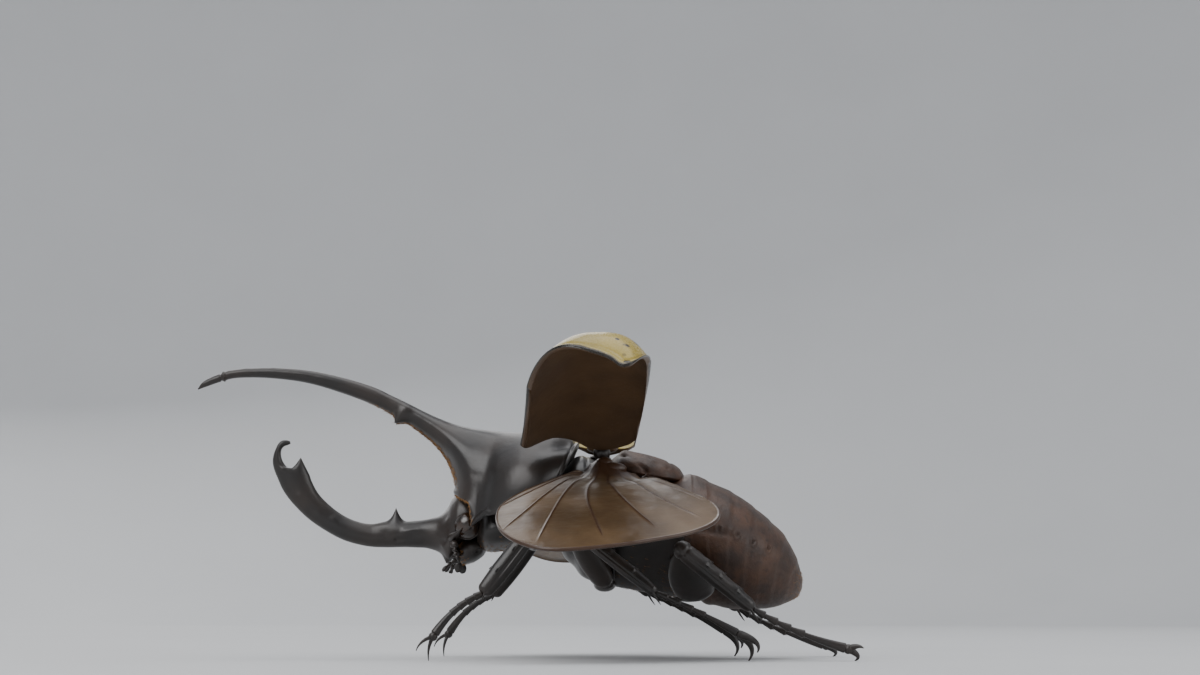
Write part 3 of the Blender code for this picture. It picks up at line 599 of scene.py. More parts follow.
MOUTH_RIBS = [
    (-33.8, 25.0, -33.9, 24.0, -33.9, 23.1, 2.4, 2.2, 2.2),
    (-32.4, 27.0, -32.2, 24.6, -32.0, 22.1, 4.6, 2.2, 2.2),
    (-30.4, 28.2, -30.0, 25.7, -29.6, 22.7, 5.6, 2.2, 2.2),
    (-28.4, 28.4, -28.0, 26.1, -27.8, 23.9, 5.0, 2.2, 2.2),
    (-27.4, 27.4, -27.2, 26.0, -27.1, 24.8, 3.2, 2, 2),
    (-27.0, 26.4, -27.0, 26.0, -27.0, 25.6, 1.0, 2, 2),
]
MOUTH_LUMPS = [
    (-0.8, 0.45, (-33.2, 4.2, 24.6), (-27.0, 5.0, 24.9)),
    (-0.35, 0.4, (-33.6, 0, 22.5), (-28.0, 0, 24.6)),
]
JAW = [(-32.4, -3.9, 24.6, 0.9), (-34.0, -3.6, 24.3, 0.9), (-35.2, -2.6, 23.9, 0.7), (-35.9, -1.4, 23.5, 0.3)]
mouth = moulded(MOUTH_RIBS, 90, 84, MOUTH_LUMPS, swell=0.2)
jaw = stalk(JAW, 40, 20)
mouth_shapes = [loft(mouth), loft(jaw), loft(mirrored(jaw))]
put("mouth", mouth_shapes, BLACK_SHELL, ["mouthparts"])


# ---- Underside and sides of the thorax ----
# Three stout plates of black shell carry the legs, each set a little way inside the one in front of it. The
# first two have a low bulge where the leg's first joint turns. A small three-cornered plate, the scutellum,
# lies on top between the wing cases.

FORE_RIBS = [
    (-28.4, 37.8, -28.7, 29.6, -28.4, 26.0, 7.8, 4.2, 2.2),
    (-25.6, 39.4, -26.3, 29.8, -26.6, 25.0, 11.6, 4.6, 2.2),
    (-21.8, 38.6, -22.6, 31.0, -23.4, 25.0, 12.6, 2.2, 2.2),
    (-16.8, 40.8, -17.2, 32.0, -18.0, 26.2, 13.8, 2.2, 2.2),
    (-12.0, 42.0, -12.2, 33.0, -13.0, 26.3, 13.6, 2.2, 2.2),
    (-8.6, 42.4, -9.4, 33.0, -10.2, 27.2, 12.4, 2.2, 2.2),
    (-6.0, 41.8, -6.8, 34.0, -7.6, 28.6, 11.0, 2.2, 2.2),
]
FORE_LUMPS = [
    (0.9, 3.6, (-23.6, 12.5, 28.8)),
    (-0.6, 0.8, (-28.0, 9, 31.0), (-20, 13.8, 33.6)),
    (-0.4, 0.6, (-26, 0, 25), (-12, 0, 26.4)),
]
fore = moulded(FORE_RIBS, 130, 132, FORE_LUMPS)
put("fore_thorax", [loft(fore)], BLACK_SHELL, ["prosternum"])

MID_RIBS = [
    (-8.4, 44.0, -11.2, 38.0, -11.2, 27.6, 11.4, 2.2, 2.0),
    (-6.6, 46.2, -9.4, 38.0, -9.4, 25.6, 12.8, 2.3, 2.0),
    (-5.4, 47.2, -7.8, 37.8, -8.2, 23.4, 14.4, 2.3, 2.0),
    (-3.4, 47.4, -5.4, 36.8, -6.2, 21.6, 15.7, 2.2, 1.9),
    (-1.2, 46.4, -2.0, 36.0, -3.8, 18.9, 16.7, 2.2, 1.9),
    (2.0, 44.8, 2.2, 35.0, 2.0, 16.8, 17.8, 2.2, 1.8),
    (3.4, 44.2, 3.6, 34.6, 3.4, 16.5, 18.1, 2.2, 1.8),
]
MID_LUMPS = [
    (0.8, 4.0, (-0.6, 14.0, 20.5)),
    (-0.35, 0.5, (-6.5, 15.5, 24), (-1.0, 17, 40)),
    (-0.45, 0.5, (-3.3, 0, 48), (-3.0, 14, 44)),
]
middle = moulded(MID_RIBS, 120, 150, MID_LUMPS, rim=(0.35, 5.8, 0.12))
put("middle_thorax", [loft(middle)], BLACK_SHELL, ["mesothorax"])

HIND_RIBS = [
    (1.6, 43.4, 1.8, 34.8, 1.9, 17.0, 17.3, 2.2, 1.8),
    (7.0, 42.4, 7.0, 33.4, 7.4, 16.0, 18.8, 2.2, 1.7),
    (12.5, 41.6, 12.4, 31.0, 12.8, 14.9, 19.2, 2.2, 1.6),
    (17.2, 40.8, 17.2, 28.6, 17.4, 14.3, 19.2, 2.2, 1.6),
    (19.4, 40.6, 19.2, 28.2, 20.4, 14.4, 18.9, 2.1, 1.6),
]
HIND_LUMPS = [
    (-0.45, 0.5, (2, 18.5, 27.5), (18.5, 19.5, 24.0)),
    (-0.40, 0.6, (2, 0, 16.5), (18, 0, 14.2)),
    (-0.45, 0.5, (14.4, 4, 14.5), (13.0, 19, 22)),
]
rear = moulded(HIND_RIBS, 120, 150, HIND_LUMPS, rim=(0.35, 3.85, 0.10))
put("rear_thorax", [loft(rear)], BLACK_SHELL, ["metathorax"])

SCUTELLUM_RIBS = [
    (-2.3, 47.3, -2.3, 46.9, -2.3, 46.4, 3.6, 2.4, 2),
    (-0.6, 48.05, -0.6, 46.8, -0.6, 46.0, 4.0, 2.3, 2),
    (1.1, 47.9, 1.1, 46.1, 1.1, 45.3, 2.8, 2.2, 2),
    (2.6, 46.9, 2.6, 45.6, 2.6, 45.0, 0.9, 2, 2),
]
SCUTELLUM_LUMPS = [(-0.25, 0.3, (-2.2, 2.9, 47.4), (2.2, 0.5, 47.0))]
scutellum = moulded(SCUTELLUM_RIBS, 40, 56, SCUTELLUM_LUMPS)
put("scutellum_plate", [loft(scutellum)], BLACK_SHELL, ["scutellum"])


# ---- Back plate between the wings, and abdomen ----
# The back that the wing cases hide at rest is softer brown skin: two swollen lobes behind the hinges, then
# the abdomen's rings, each lapping over the next, with a row of breathing holes along each side.


def brown_hide(start):
    """Leathery dark brown, redder in clouds and darker where it wrinkles, with a low grain."""
    clouds = start.noise(0.22, 4.0)
    wrinkles = start.noise(0.9, 5.0, start.place((1.0, 0.35, 1.0)))
    grain = start.cells(2.6)
    colour = start.mix(clouds.fade(0.3, 0.75), (0.030, 0.014, 0.008), (0.072, 0.031, 0.014))
    return {
        "Base Color": start.mix(wrinkles.fade(0.5, 0.75) * 0.5, colour, (0.016, 0.009, 0.006)),
        "Roughness": 0.32 + 0.22 * wrinkles + 0.10 * grain,
        "Normal": start.bump(grain, 0.03, start.bump(wrinkles, 0.11)),
    }


BROWN_SKIN = finish_of("brown_skin", {"Specular IOR Level": 0.5}, brown_hide)

BACK_RIBS = [
    (2.0, 46.0, 2.0, 44.0, 2.0, 42.0, 4.6, 2, 2),
    (3.6, 47.3, 3.6, 43.9, 3.6, 42.0, 7.6, 2.2, 2),
    (5.9, 48.5, 5.8, 43.6, 5.8, 42.0, 10.0, 2.3, 2),
    (10.2, 47.9, 10.2, 42.8, 10.2, 41.2, 11.6, 2.3, 2),
    (15.2, 46.4, 15.2, 42.0, 15.2, 40.6, 11.0, 2.3, 2),
    (18.3, 44.8, 18.3, 41.6, 18.3, 40.4, 8.2, 2.1, 2),
    (19.6, 43.2, 19.6, 41.4, 19.6, 40.4, 4.6, 2, 2),
]
BACK_LUMPS = [
    (-1.1, 1.2, (2, 0, 48), (19, 0, 44.5)),
    (-0.95, 0.55, (4.0, 5.5, 48.3), (10.5, 11.5, 43.4)),
    (0.35, 0.9, (5.2, 4.0, 48.6), (12.0, 9.6, 45.6)),
    (-0.35, 0.45, (16.4, 2.0, 46.2), (15.6, 9.6, 43.6)),
]
back = moulded(BACK_RIBS, 120, 140, BACK_LUMPS)
put("back_lobes", [loft(back)], BROWN_SKIN, ["metanotum"])

ABDOMEN_RIBS = [
    (15.6, 41.6, 15.4, 28.4, 17.0, 17.4, 16.6, 2.1, 1.7),
    (18.4, 42.4, 17.8, 28.4, 19.6, 15.6, 18.4, 2.1, 1.7),
    (20.4, 43.0, 19.8, 28.2, 22.6, 14.2, 19.2, 2.1, 1.7),
    (22.6, 42.8, 22.2, 27.8, 24.8, 12.7, 19.7, 2.1, 1.8),
    (26.3, 41.0, 25.8, 27.2, 27.2, 12.4, 19.9, 2.1, 1.9),
    (31.3, 38.7, 29.8, 25.8, 30.0, 11.7, 19.5, 2.1, 2.0),
    (35.9, 35.5, 33.6, 24.2, 33.2, 11.5, 18.5, 2.1, 2.0),
    (39.7, 32.3, 37.2, 22.8, 36.6, 11.6, 16.8, 2.1, 2.0),
    (43.4, 28.5, 40.8, 21.2, 39.8, 11.8, 14.0, 2.1, 2.0),
    (46.2, 23.0, 44.2, 19.0, 43.2, 12.8, 10.2, 2.1, 2.0),
    (47.2, 19.2, 46.5, 17.2, 45.9, 14.2, 5.6, 2.0, 2.0),
    (47.4, 17.6, 47.3, 16.6, 47.1, 15.8, 1.6, 2.0, 2.0),
]
RING_PLACES = (2.3, 3.5, 4.7, 5.8, 6.8, 7.8, 8.8)

station = np.linspace(0, len(ABDOMEN_RIBS) - 1, 250)
abdomen_row = station[:, None]
turn = turns(176)
abdomen = ribbed(ABDOMEN_RIBS, station, turn)
leaning = abdomen_row - 0.10 * np.sin(turn)
fuller_above = np.clip(0.75 + 0.5 * np.sin(turn), 0.35, 1)
height = np.zeros(abdomen.shape[:2])
for place in RING_PLACES:
    behind = leaning - place
    step = 0.11 * np.where(behind < 0, np.clip(1 + behind / 0.95, 0, 1) ** 2, bell(behind / 0.14))
    height = height + (step - 0.06 * bell((behind - 0.28) / 0.16)) * fuller_above
side_fold = far_from(abdomen, (16, 19.2, 30.5), (30, 19.8, 28.5)) / 0.8
height = height - 0.7 * bell(side_fold) * bell((abdomen_row - 3.5) / 3.5)
for place in RING_PLACES[:-1]:
    middle_rib = curve_through(ABDOMEN_RIBS, [place - 0.5])[0]
    from_hole = far_from(abdomen, (middle_rib[2] + 0.4, middle_rib[6] * 0.98, middle_rib[3] + 3.0))
    height = height + 0.32 * bell((from_hole - 0.75) / 0.25) - 0.45 * bell(from_hole / 0.5)
abdomen = raised(abdomen, height)
put("abdomen_rings", [loft(abdomen)], BROWN_SKIN, ["abdomen"])


# ---- Wing cases and their hinges ----
# The front wings are hard domed shells, olive yellow with black spots outside and dark brown inside. The
# thickened root of each grips the round knuckle that it turns on at its inner front corner, and the knuckle
# stands on a short foot sunk into the thorax.

BALL_RADIUS = 2.0
FOOT_BELOW, FOOT_SIZES = np.array([0, 0, -2.3]), (1.3, 1.3, 2.0)
knuckle = ball(HINGE_BALL, [BALL_RADIUS] * 3, 30, 44)
foot = ball(HINGE_BALL + FOOT_BELOW, FOOT_SIZES, 20, 32)
put_pair("hinge", "wing_case_hinge", [loft(knuckle), loft(foot)], BLACK_SHELL)

# The case's base, how steeply it rises and sweeps back, its sizes, where across it the tip lies, from -1 at
# the inner edge to 1 at the outer one, and how far its outline and its length turn.
CASE_HINGE = np.array([-5.9, -9.0, 48.7])
CASE_RISE = math.radians(32.5)
CASE_SWEEP = 0.15
CASE_LENGTH = 61.0
CASE_HALF_WIDTH = 13.2
CASE_THICK = 0.85
CASE_ROOT = np.array([0.6, -10.6, 49.6])
CASE_EDGE = 0.55
KNOB_OUT, KNOB_SIZES = np.array([0.2, -1.4, 2.3]), (3.8, 2.3, 1.4)
TIP_PLACE = -0.62
CORNER_TURN = math.radians(84.0)
TIP_TURN = math.radians(102.0)
OUT_WAY = np.array([0, -math.cos(CASE_RISE), math.sin(CASE_RISE)])
UP_WAY = np.array([0, math.sin(CASE_RISE), math.cos(CASE_RISE)])


def case_surface(angle, share_out):
    """The outer face: column angles run round the two quarter ellipses of the tip, and rows from base to
    tip. Along its length the case runs almost straight and then turns down more and more, by TIP_TURN in
    all; towards the outer edge a column goes partly by its own length, and turns sooner. The case sags
    towards both side edges."""
    inner = angle < 0
    room = np.where(inner, 1 + TIP_PLACE, 1 - TIP_PLACE)
    straight = np.where(inner, 0.62, 0.53)
    v = TIP_PLACE + room * np.sin(angle) / math.sin(CORNER_TURN)
    end = CASE_LENGTH * (straight + (1 - straight) * np.cos(angle))
    start = 2.0 + 7.2 * np.maximum(v + 0.2, 0) - 4.6 * np.maximum(v - 0.45, 0) + 3.0 * np.abs(v) ** 14
    reach = start + (end - start) * share_out[:, None]
    own = 0.19 * ramp(v, TIP_PLACE, 0.8)
    full = 1 / ((1 - own) / CASE_LENGTH + own / end)
    steps = np.linspace(0, 1.2, 601)
    middle = (steps[1:] + steps[:-1]) / 2
    bent = math.radians(3) * middle + TIP_TURN * np.maximum(middle - 0.55, 0) ** 2 / 0.45**2
    out = full * np.interp(reach / full, steps, np.concatenate([[0], np.cumsum(np.cos(bent))]) * steps[1])
    down = full * np.interp(reach / full, steps, np.concatenate([[0], np.cumsum(np.sin(bent))]) * steps[1])
    share = reach / CASE_LENGTH
    sag = (6.5 + 3.3 * share) * np.maximum(v, 0) ** 2 + 14.0 * np.maximum(-v, 0) ** 4 * share**2.5
    half_width = CASE_HALF_WIDTH * (1.04 - 0.14 * share**4)
    behind = CASE_SWEEP * out * (1 - 0.5 * share) - 1.8 * share**3 - half_width * v
    grid = CASE_HINGE + OUT_WAY * out[..., None] - UP_WAY * (down + sag)[..., None]
    return grid + np.array([1, 0, 0]) * behind[..., None]


def face_normals(grid, up):
    """Unit normals of an open grid, on the side that up points to."""
    normal = unit(np.cross(np.gradient(grid, axis=0), np.gradient(grid, axis=1)))
    return normal * np.sign(np.sum(normal @ np.array(up, float)))


def edge_distances(grid):
    """How far each point lies from the first and last row, and from the first and last column."""
    rows = [np.linalg.norm(grid - grid[edge : edge + 1], axis=-1) for edge in (0, grid.shape[0] - 1)]
    columns = [np.linalg.norm(grid - grid[:, edge : edge + 1], axis=-1) for edge in (0, grid.shape[1] - 1)]
    return rows + columns


def plate(upper, under):
    """A closed shape from two faces on like grids, which share the points of their border."""
    rows, columns = upper.shape[:2]
    here = np.arange(rows * columns).reshape(rows, columns)
    below = here + rows * columns
    for border in (np.s_[0], np.s_[-1], np.s_[:, 0], np.s_[:, -1]):
        below[border] = here[border]
    faces = []
    for index in (here, below[::-1]):
        faces.append(np.stack([index[:-1, :-1], index[:-1, 1:], index[1:, 1:], index[1:, :-1]], axis=-1))
    quads = np.concatenate([face.reshape(-1, 4) for face in faces])
    used, quads = np.unique(quads, return_inverse=True)
    points = np.concatenate([upper.reshape(-1, upper.shape[2]), under.reshape(-1, upper.shape[2])])
    return points[used], quads.reshape(-1, 4), np.zeros((0, 3), int)


case = case_surface(np.linspace(-CORNER_TURN, CORNER_TURN, 150), crowded(150))
from_base, from_tip, from_inner, from_outer = edge_distances(case)
edge = np.minimum(np.minimum(from_tip, from_inner), from_outer)
normal = face_normals(case, UP_WAY)
from_root = np.linalg.norm(case - CASE_ROOT, axis=-1)
near_root = bell(from_root / 3.0)
round_root = bell(from_root / 4.6)
round_edge = dome(np.minimum(edge, from_base), CASE_EDGE)
rim = bell((edge - CASE_EDGE) / 0.42) * 0.28 - bell((edge - 1.6) / 0.5) * 0.14
suture = bell((from_inner - 2.4) / 0.35) * 0.10
outer_face = case + normal * ((rim - suture + 0.9 * near_root) * round_edge)[..., None]
inner_rim = bell((edge - 0.7) / 0.5) * 0.22
inner_face = case - normal * ((CASE_THICK + inner_rim + 1.5 * round_root) * round_edge)[..., None]


def marked(grid, *marks):
    """The grid with one more column for each mark, which is one number, or a number for each point."""
    columns = [np.broadcast_to(mark, grid.shape[:2])[..., None] for mark in marks]
    return np.concatenate([grid, *columns], axis=-1)


knob = ball(HINGE_BALL + KNOB_OUT, KNOB_SIZES, 20, 32)
case_shapes = [plate(marked(outer_face, 0, edge), marked(inner_face, 1, edge)), loft(marked(knob, 1, 1))]


def spotted_shell(start):
    """Outside olive yellow with large black spots here and there, small ones in patches, and black borders.
    Inside dark brown and duller. Both have fine pores over low waves."""
    inside = start.add("Attribute", {"attribute_name": "inside"}, None, "Fac")
    edge = start.add("Attribute", {"attribute_name": "edge"}, None, "Fac")
    wobble = start.noise(0.5, 4.0)
    tone = start.mix(start.noise(0.08, 3.0).fade(0.3, 0.7), (0.235, 0.175, 0.030), (0.360, 0.270, 0.055))
    large = 1 - (start.cells(0.18) + 0.28 * wobble).fade(0.30, 0.36)
    patches = start.noise(0.075, 2.0).fade(0.48, 0.58)
    small = (1 - (start.cells(0.42) + 0.20 * wobble).fade(0.26, 0.33)) * patches
    spots = 1 - start.math("MAXIMUM", large, small)
    border = (edge + 0.8 * wobble).fade(0.9, 1.7)
    outside = start.mix(spots * border, (0.016, 0.012, 0.008), tone)
    under = start.mix(start.noise(0.12, 4.0).fade(0.3, 0.7), (0.072, 0.041, 0.021), (0.100, 0.057, 0.028))
    pores = 1 - start.cells(1.3).fade(0.08, 0.22)
    return {
        "Base Color": start.mix(inside.fade(0.3, 0.7), outside, under),
        "Roughness": 0.20 + 0.14 * start.noise(2.0, 4.0) + 0.10 * pores + 0.16 * inside,
        "Normal": start.bump(0 - pores, 0.04, start.bump(start.noise(0.35, 3.0), 0.12)),
    }


OLIVE_SHELL = finish_of("olive_shell", {"Specular IOR Level": 0.5}, spotted_shell)
put_pair("case", "wing_case", case_shapes, OLIVE_SHELL, ("inside", "edge"))


# ---- Hind wings ----
# The flying wings are clear smoky skin, stiffened by brown veins that fan out from a swollen root. They are
# half open here, with two soft folds along them, and droop from the back to each side.

# The outline from the front of the root round to its rear: x, and how far out from the middle.
WING_EDGE = [
    (-10.5, 22.0), (-17.8, 31.5), (-22.4, 42.0), (-22.0, 54.0), (-17.6, 63.0), (-10.0, 67.6), (1.6, 65.6),
    (12.0, 61.4), (20.4, 56.6), (25.6, 49.4), (25.8, 41.0), (21.4, 32.6), (14.0, 24.0),
]
WING_TRIM = 0.998
WING_ROOT_SPAN = 12.6
WING_ROOT_HEIGHT = 44.1
WING_DROOP = 0.37
WING_CAMBER = 1.6
WING_THICK = 0.5
WING_EDGE_ROUND = 0.4
# The two knobs of its root: place and half sizes.
WING_KNOBS = (((1.0, -12.9, 44.6), (2.3, 1.9, 1.9)), ((2.2, -13.3, 43.7), (4.0, 2.2, 1.7)))
# Each vein: where it leaves the root and where it meets the edge, as shares from the front edge to the rear
# one, then its bend on the way, its half width and how far along the wing it runs.
VEINS = [
    (0.03, 0.07, 0.02, 0.75, 1.0), (0.07, 0.16, 0.03, 0.52, 0.95), (0.12, 0.27, 0.04, 0.46, 0.90),
    (0.19, 0.38, 0.03, 0.44, 0.86), (0.30, 0.50, 0.02, 0.42, 0.84), (0.43, 0.61, 0.0, 0.40, 0.82),
    (0.57, 0.73, -0.01, 0.38, 0.80), (0.72, 0.84, -0.01, 0.36, 0.76), (0.87, 0.93, 0.0, 0.34, 0.70),
]

ray = crowded(120)[:, None]
leaves, meets, bends, half_widths, runs = np.array([(0, 0, 0, 1, 0), *VEINS, (1, 1, 0, 1, 0)]).T
lines = leaves + (meets - leaves) * ray**0.8 + bends * np.sin(np.pi * ray)
between = (lines[:, :-1, None] + np.diff(lines)[..., None] * crowded(25)[:-1]).reshape(len(ray), -1)
share = np.concatenate([between, lines[:, -1:]], axis=1)
edge_line = curve_through(WING_EDGE, share.ravel() * (len(WING_EDGE) - 1))
edge_line = edge_line.reshape(*share.shape, 2) * WING_TRIM
out = WING_ROOT_SPAN + (edge_line[..., 1] - WING_ROOT_SPAN) * ray
root_x = -2.2 + 10.2 * share
height = WING_ROOT_HEIGHT - WING_DROOP * (out - WING_ROOT_SPAN)
height = height + WING_CAMBER * np.sin(np.pi * ray) * np.sin(np.pi * share)
height = height + 2.3 * bell(ray / 0.08) * bell((share - 0.32) / 0.26) - 0.9 * bell((ray - 0.16) / 0.10)
height = height - 1.8 * share**2 * (1 - ray) ** 2
wing = np.stack([root_x + (edge_line[..., 0] - root_x) * ray, -out, height], axis=-1)
fold = bell((share - 0.34 - 0.10 * ray) / 0.05) + bell((share - 0.66 - 0.06 * ray) / 0.05)
folds = -0.25 * fold * np.sin(np.pi * ray) + 0.30 * np.sin(share * 24 + 3 * ray) * ray * (1 - ray)
wing = wing + face_normals(wing, (0, 0, 1)) * folds[..., None]
normal = face_normals(wing, (0, 0, 1))
wing_edges = edge_distances(wing)
edge = np.minimum.reduce(wing_edges[1:])
spread = np.linalg.norm(np.gradient(wing, axis=1), axis=-1) / np.gradient(share, axis=1)
vein = np.zeros(wing.shape[:2])
for number in range(1, len(VEINS) + 1):
    wide = half_widths[number] * (1.1 - 0.5 * ray)
    fading = 1 - ramp(ray, runs[number], 0.10)
    vein = np.maximum(vein, fading * bell((share - lines[:, number : number + 1]) * spread / wide))
thick = WING_THICK / 2 * dome(np.minimum(edge, wing_edges[0]), WING_EDGE_ROUND)
rim = 0.20 * bell((edge - WING_EDGE_ROUND) / 0.35)
vein_height = vein * (0.12 + 0.88 * ramp(ray, 0, 0.45))
round_rim = dome(edge, WING_EDGE_ROUND)
upper = wing + normal * (thick + (0.18 * vein_height + rim) * round_rim)[..., None]
under = wing - normal * (thick + (0.14 * vein_height + rim) * round_rim)[..., None]
brown = np.maximum(vein, np.maximum(bell(edge / 0.7), 1 - ramp(ray, 0.04, 0.12)))
wing_shapes = [plate(marked(upper, brown), marked(under, brown))]
for centre, sizes in WING_KNOBS:
    wing_shapes.append(loft(marked(ball(centre, sizes, 26, 36), 1)))


def smoky_skin(start):
    """Clear amber skin with a fine crinkle; veins, rim and root are solid chestnut."""
    vein = start.add("Attribute", {"attribute_name": "vein"}, None, "Fac").fade(0.12, 0.6)
    crinkle = start.noise(0.5, 2.0)
    cloud = start.noise(0.08, 3.0)
    skin = start.mix(cloud.fade(0.3, 0.7), (0.085, 0.050, 0.024), (0.150, 0.094, 0.048))
    return {
        "Base Color": start.mix(vein, skin, (0.048, 0.022, 0.010)),
        "Roughness": 0.26 + 0.16 * crinkle,
        "Alpha": start.math("MINIMUM", 0.66 + 0.20 * cloud + vein, 1.0),
        "Normal": start.bump(crinkle, 0.05, start.bump(start.noise(0.22, 2.0), 0.30)),
    }


WING_SKIN = finish_of("wing_skin", {"Specular IOR Level": 0.5}, smoky_skin)
put_pair("flying_wing", "hind_wing", wing_shapes, WING_SKIN, ("vein",))


# ---- Legs ----
# Each leg is a coxa set in the body, a stout femur, a tibia with steps and thorns and two spurs at its end,
# a foot of five flared joints, and a knuckle with two hooked claws and two bristles, all of black shell.

# For each pair, the left leg. First the places of its joints from the body to the toe, the claws' half size,
# and a pull and a tip for each claw. Then the half sizes of coxa, femur and tibia. The femur is neck times
# its size at the hip and starts an overlap before it. The tibia's swell is its size at the near end, the
# share of its length where it is stoutest, and its size at the far end. Thorns stand at shares of that
# length, each at a step that high; a thorn and a spur are a length and a radius. The tarsus is the foot's
# half size, and flare is how much each of its joints widens. Flip turns the tibia's steps to its other side.
LEGS = {
    "front": {
        "root": (-15.8, -4.0, 26.8), "hip": (-16.8, -13.0, 27.0), "knee": (-13.6, -22.6, 31.2),
        "shin": (-14.0, -24.0, 31.0), "ankle": (-26.3, -27.4, 15.0), "sole": (-32.8, -29.0, 12.4),
        "toe": (-36.9, -30.4, 5.9), "claw": 0.38,
        "claws": (((-38.6, -29.6, 3.0), (-38.2, -29.4, 0.05)), ((-40.2, -31.8, 4.6), (-40.8, -32.4, 2.3))),
        "coxa": (1.3, 1.4), "femur": (2.4, 3.0), "neck": 0.5, "overlap": 0.4,
        "tibia": (1.5, 2.2), "swell": (0.66, 0.6, 0.80), "step": 0.05,
        "thorns": (0.42, 0.70), "thorn": (1.3, 0.36), "spurs": (2.2, 0.28),
        "tarsus": 1.1, "flare": 0.16, "flip": False,
    },
    "mid": {
        "root": (0.8, -4.0, 17.0), "hip": (1.4, -13.4, 17.4), "knee": (-6.0, -27.0, 28.6),
        "shin": (-5.2, -28.6, 29.0), "ankle": (12.4, -30.8, 15.2), "sole": (21.8, -31.6, 11.3),
        "toe": (30.6, -32.2, 6.2), "claw": 0.72,
        "claws": (((35.3, -31.0, 2.9), (33.0, -31.0, 0.05)), ((36.2, -33.8, 4.4), (34.8, -34.2, 2.0))),
        "coxa": (1.6, 2.6), "femur": (3.0, 2.4), "neck": 0.7, "overlap": 0.6,
        "tibia": (1.4, 1.6), "swell": (0.85, 0.5, 0.80), "step": 0.22,
        "thorns": (0.42, 0.70), "thorn": (1.2, 0.26), "spurs": (4.2, 0.30),
        "tarsus": 1.0, "flare": 0.28, "flip": True,
    },
    "hind": {
        "root": (20.4, -4.4, 17.4), "hip": (22.0, -15.0, 14.8), "knee": (18.9, -27.2, 24.6),
        "shin": (17.6, -29.8, 25.4), "ankle": (34.2, -30.0, 11.6), "sole": (42.6, -29.6, 6.3),
        "toe": (54.9, -29.0, 2.8), "claw": 0.65,
        "claws": (((58.9, -28.2, 1.0), (56.9, -28.0, 0.05)), ((57.6, -30.0, 3.8), (58.6, -31.0, 2.9))),
        "coxa": (1.7, 2.0), "femur": (5.3, 3.0), "neck": 0.7, "overlap": 1.5,
        "tibia": (1.9, 2.1), "swell": (0.92, 0.14, 0.70), "step": 0.26,
        "thorns": (0.36, 0.53, 0.76), "thorn": (1.3, 0.28), "spurs": (4.6, 0.32),
        "tarsus": 1.2, "flare": 0.34, "flip": True,
    },
}
THORN_TURNS = (5.1, 3.5)
SPUR_SIDES = (-0.7, 0.8)
TARSUS_STARTS = (0.0, 0.15, 0.30, 0.45, 0.60, 1.0)
FLOOR_CLEARANCE = 0.02


def bent(points, count):
    """The quadratic curve from the first point to the last, pulled towards the middle one."""
    start, pull, end = (np.array(point, float) for point in points)
    t = np.linspace(0, 1, count)[:, None]
    return start * (1 - t) ** 2 + pull * (2 * t * (1 - t)) + end * t**2


def swelling(share, start, peak, end):
    """A half size along a joint: start at its near end, 1 at the peak's share, end at its far end, on two
    quarter sine waves."""
    rising = start + (1 - start) * np.sin(ramp(share, 0, peak) * np.pi / 2)
    falling = end + (1 - end) * np.sin(ramp(share, 1, peak - 1) * np.pi / 2)
    return np.where(share < peak, rising, falling)


def limb(start, end, half_sizes, swell, gaps, side, count=56, around=40, blunt=0.55):
    """A leg joint between two places, rounded off at both ends over blunt times its smaller half size."""
    start, end = np.array(start, float), np.array(end, float)
    length = np.linalg.norm(end - start)
    share = crowded(count)
    way = (end - start) / length
    path = start + way * gaps[0] + (end - start - way * (gaps[0] + gaps[1])) * share[:, None]
    rounded = dome(np.minimum(share, 1 - share) * length, blunt * min(half_sizes))
    size = swelling(share, *swell) * rounded
    return tube(path, size * half_sizes[0], size * half_sizes[1], side, around)


def thorn(base, way, bend, length, radius):
    """A thorn that tapers to a point and bends over."""
    base, way, bend = np.array(base), np.array(way), np.array(bend)
    middle = base + way * 0.6 * length
    path = bent((base - way * 0.3 * length, middle, base + (way * 0.8 + bend) * length), 14)
    size = radius * np.linspace(1.0, 0.0, 14) ** 0.8 + 0.02
    return tube(path, size, size, np.cross(way, bend) + 1e-3, 12)


def upper_joints(leg):
    """The coxa with the bead at its end, and the femur with a groove along its outer face."""
    coxa = limb(leg["root"], leg["hip"], leg["coxa"], (0.6, 0.55, 0.6), (0, 0.0), (0, 0, 1))
    hip_bead = ball(leg["hip"], [0.45 * min(leg["femur"])] * 3, 18, 26)
    swell, gaps = (leg["neck"], 0.42, 0.46), (-leg["overlap"], -1.0)
    femur = limb(leg["hip"], leg["knee"], leg["femur"], swell, gaps, (1, 0, 0), 64, 56, 1.0)
    groove = bell((turns(56) - np.pi) / 0.22) * np.sin(np.pi * crowded(64))[:, None]
    return {"coxa": [coxa, hip_bead], "femur": [raised(femur, -0.22 * groove)]}


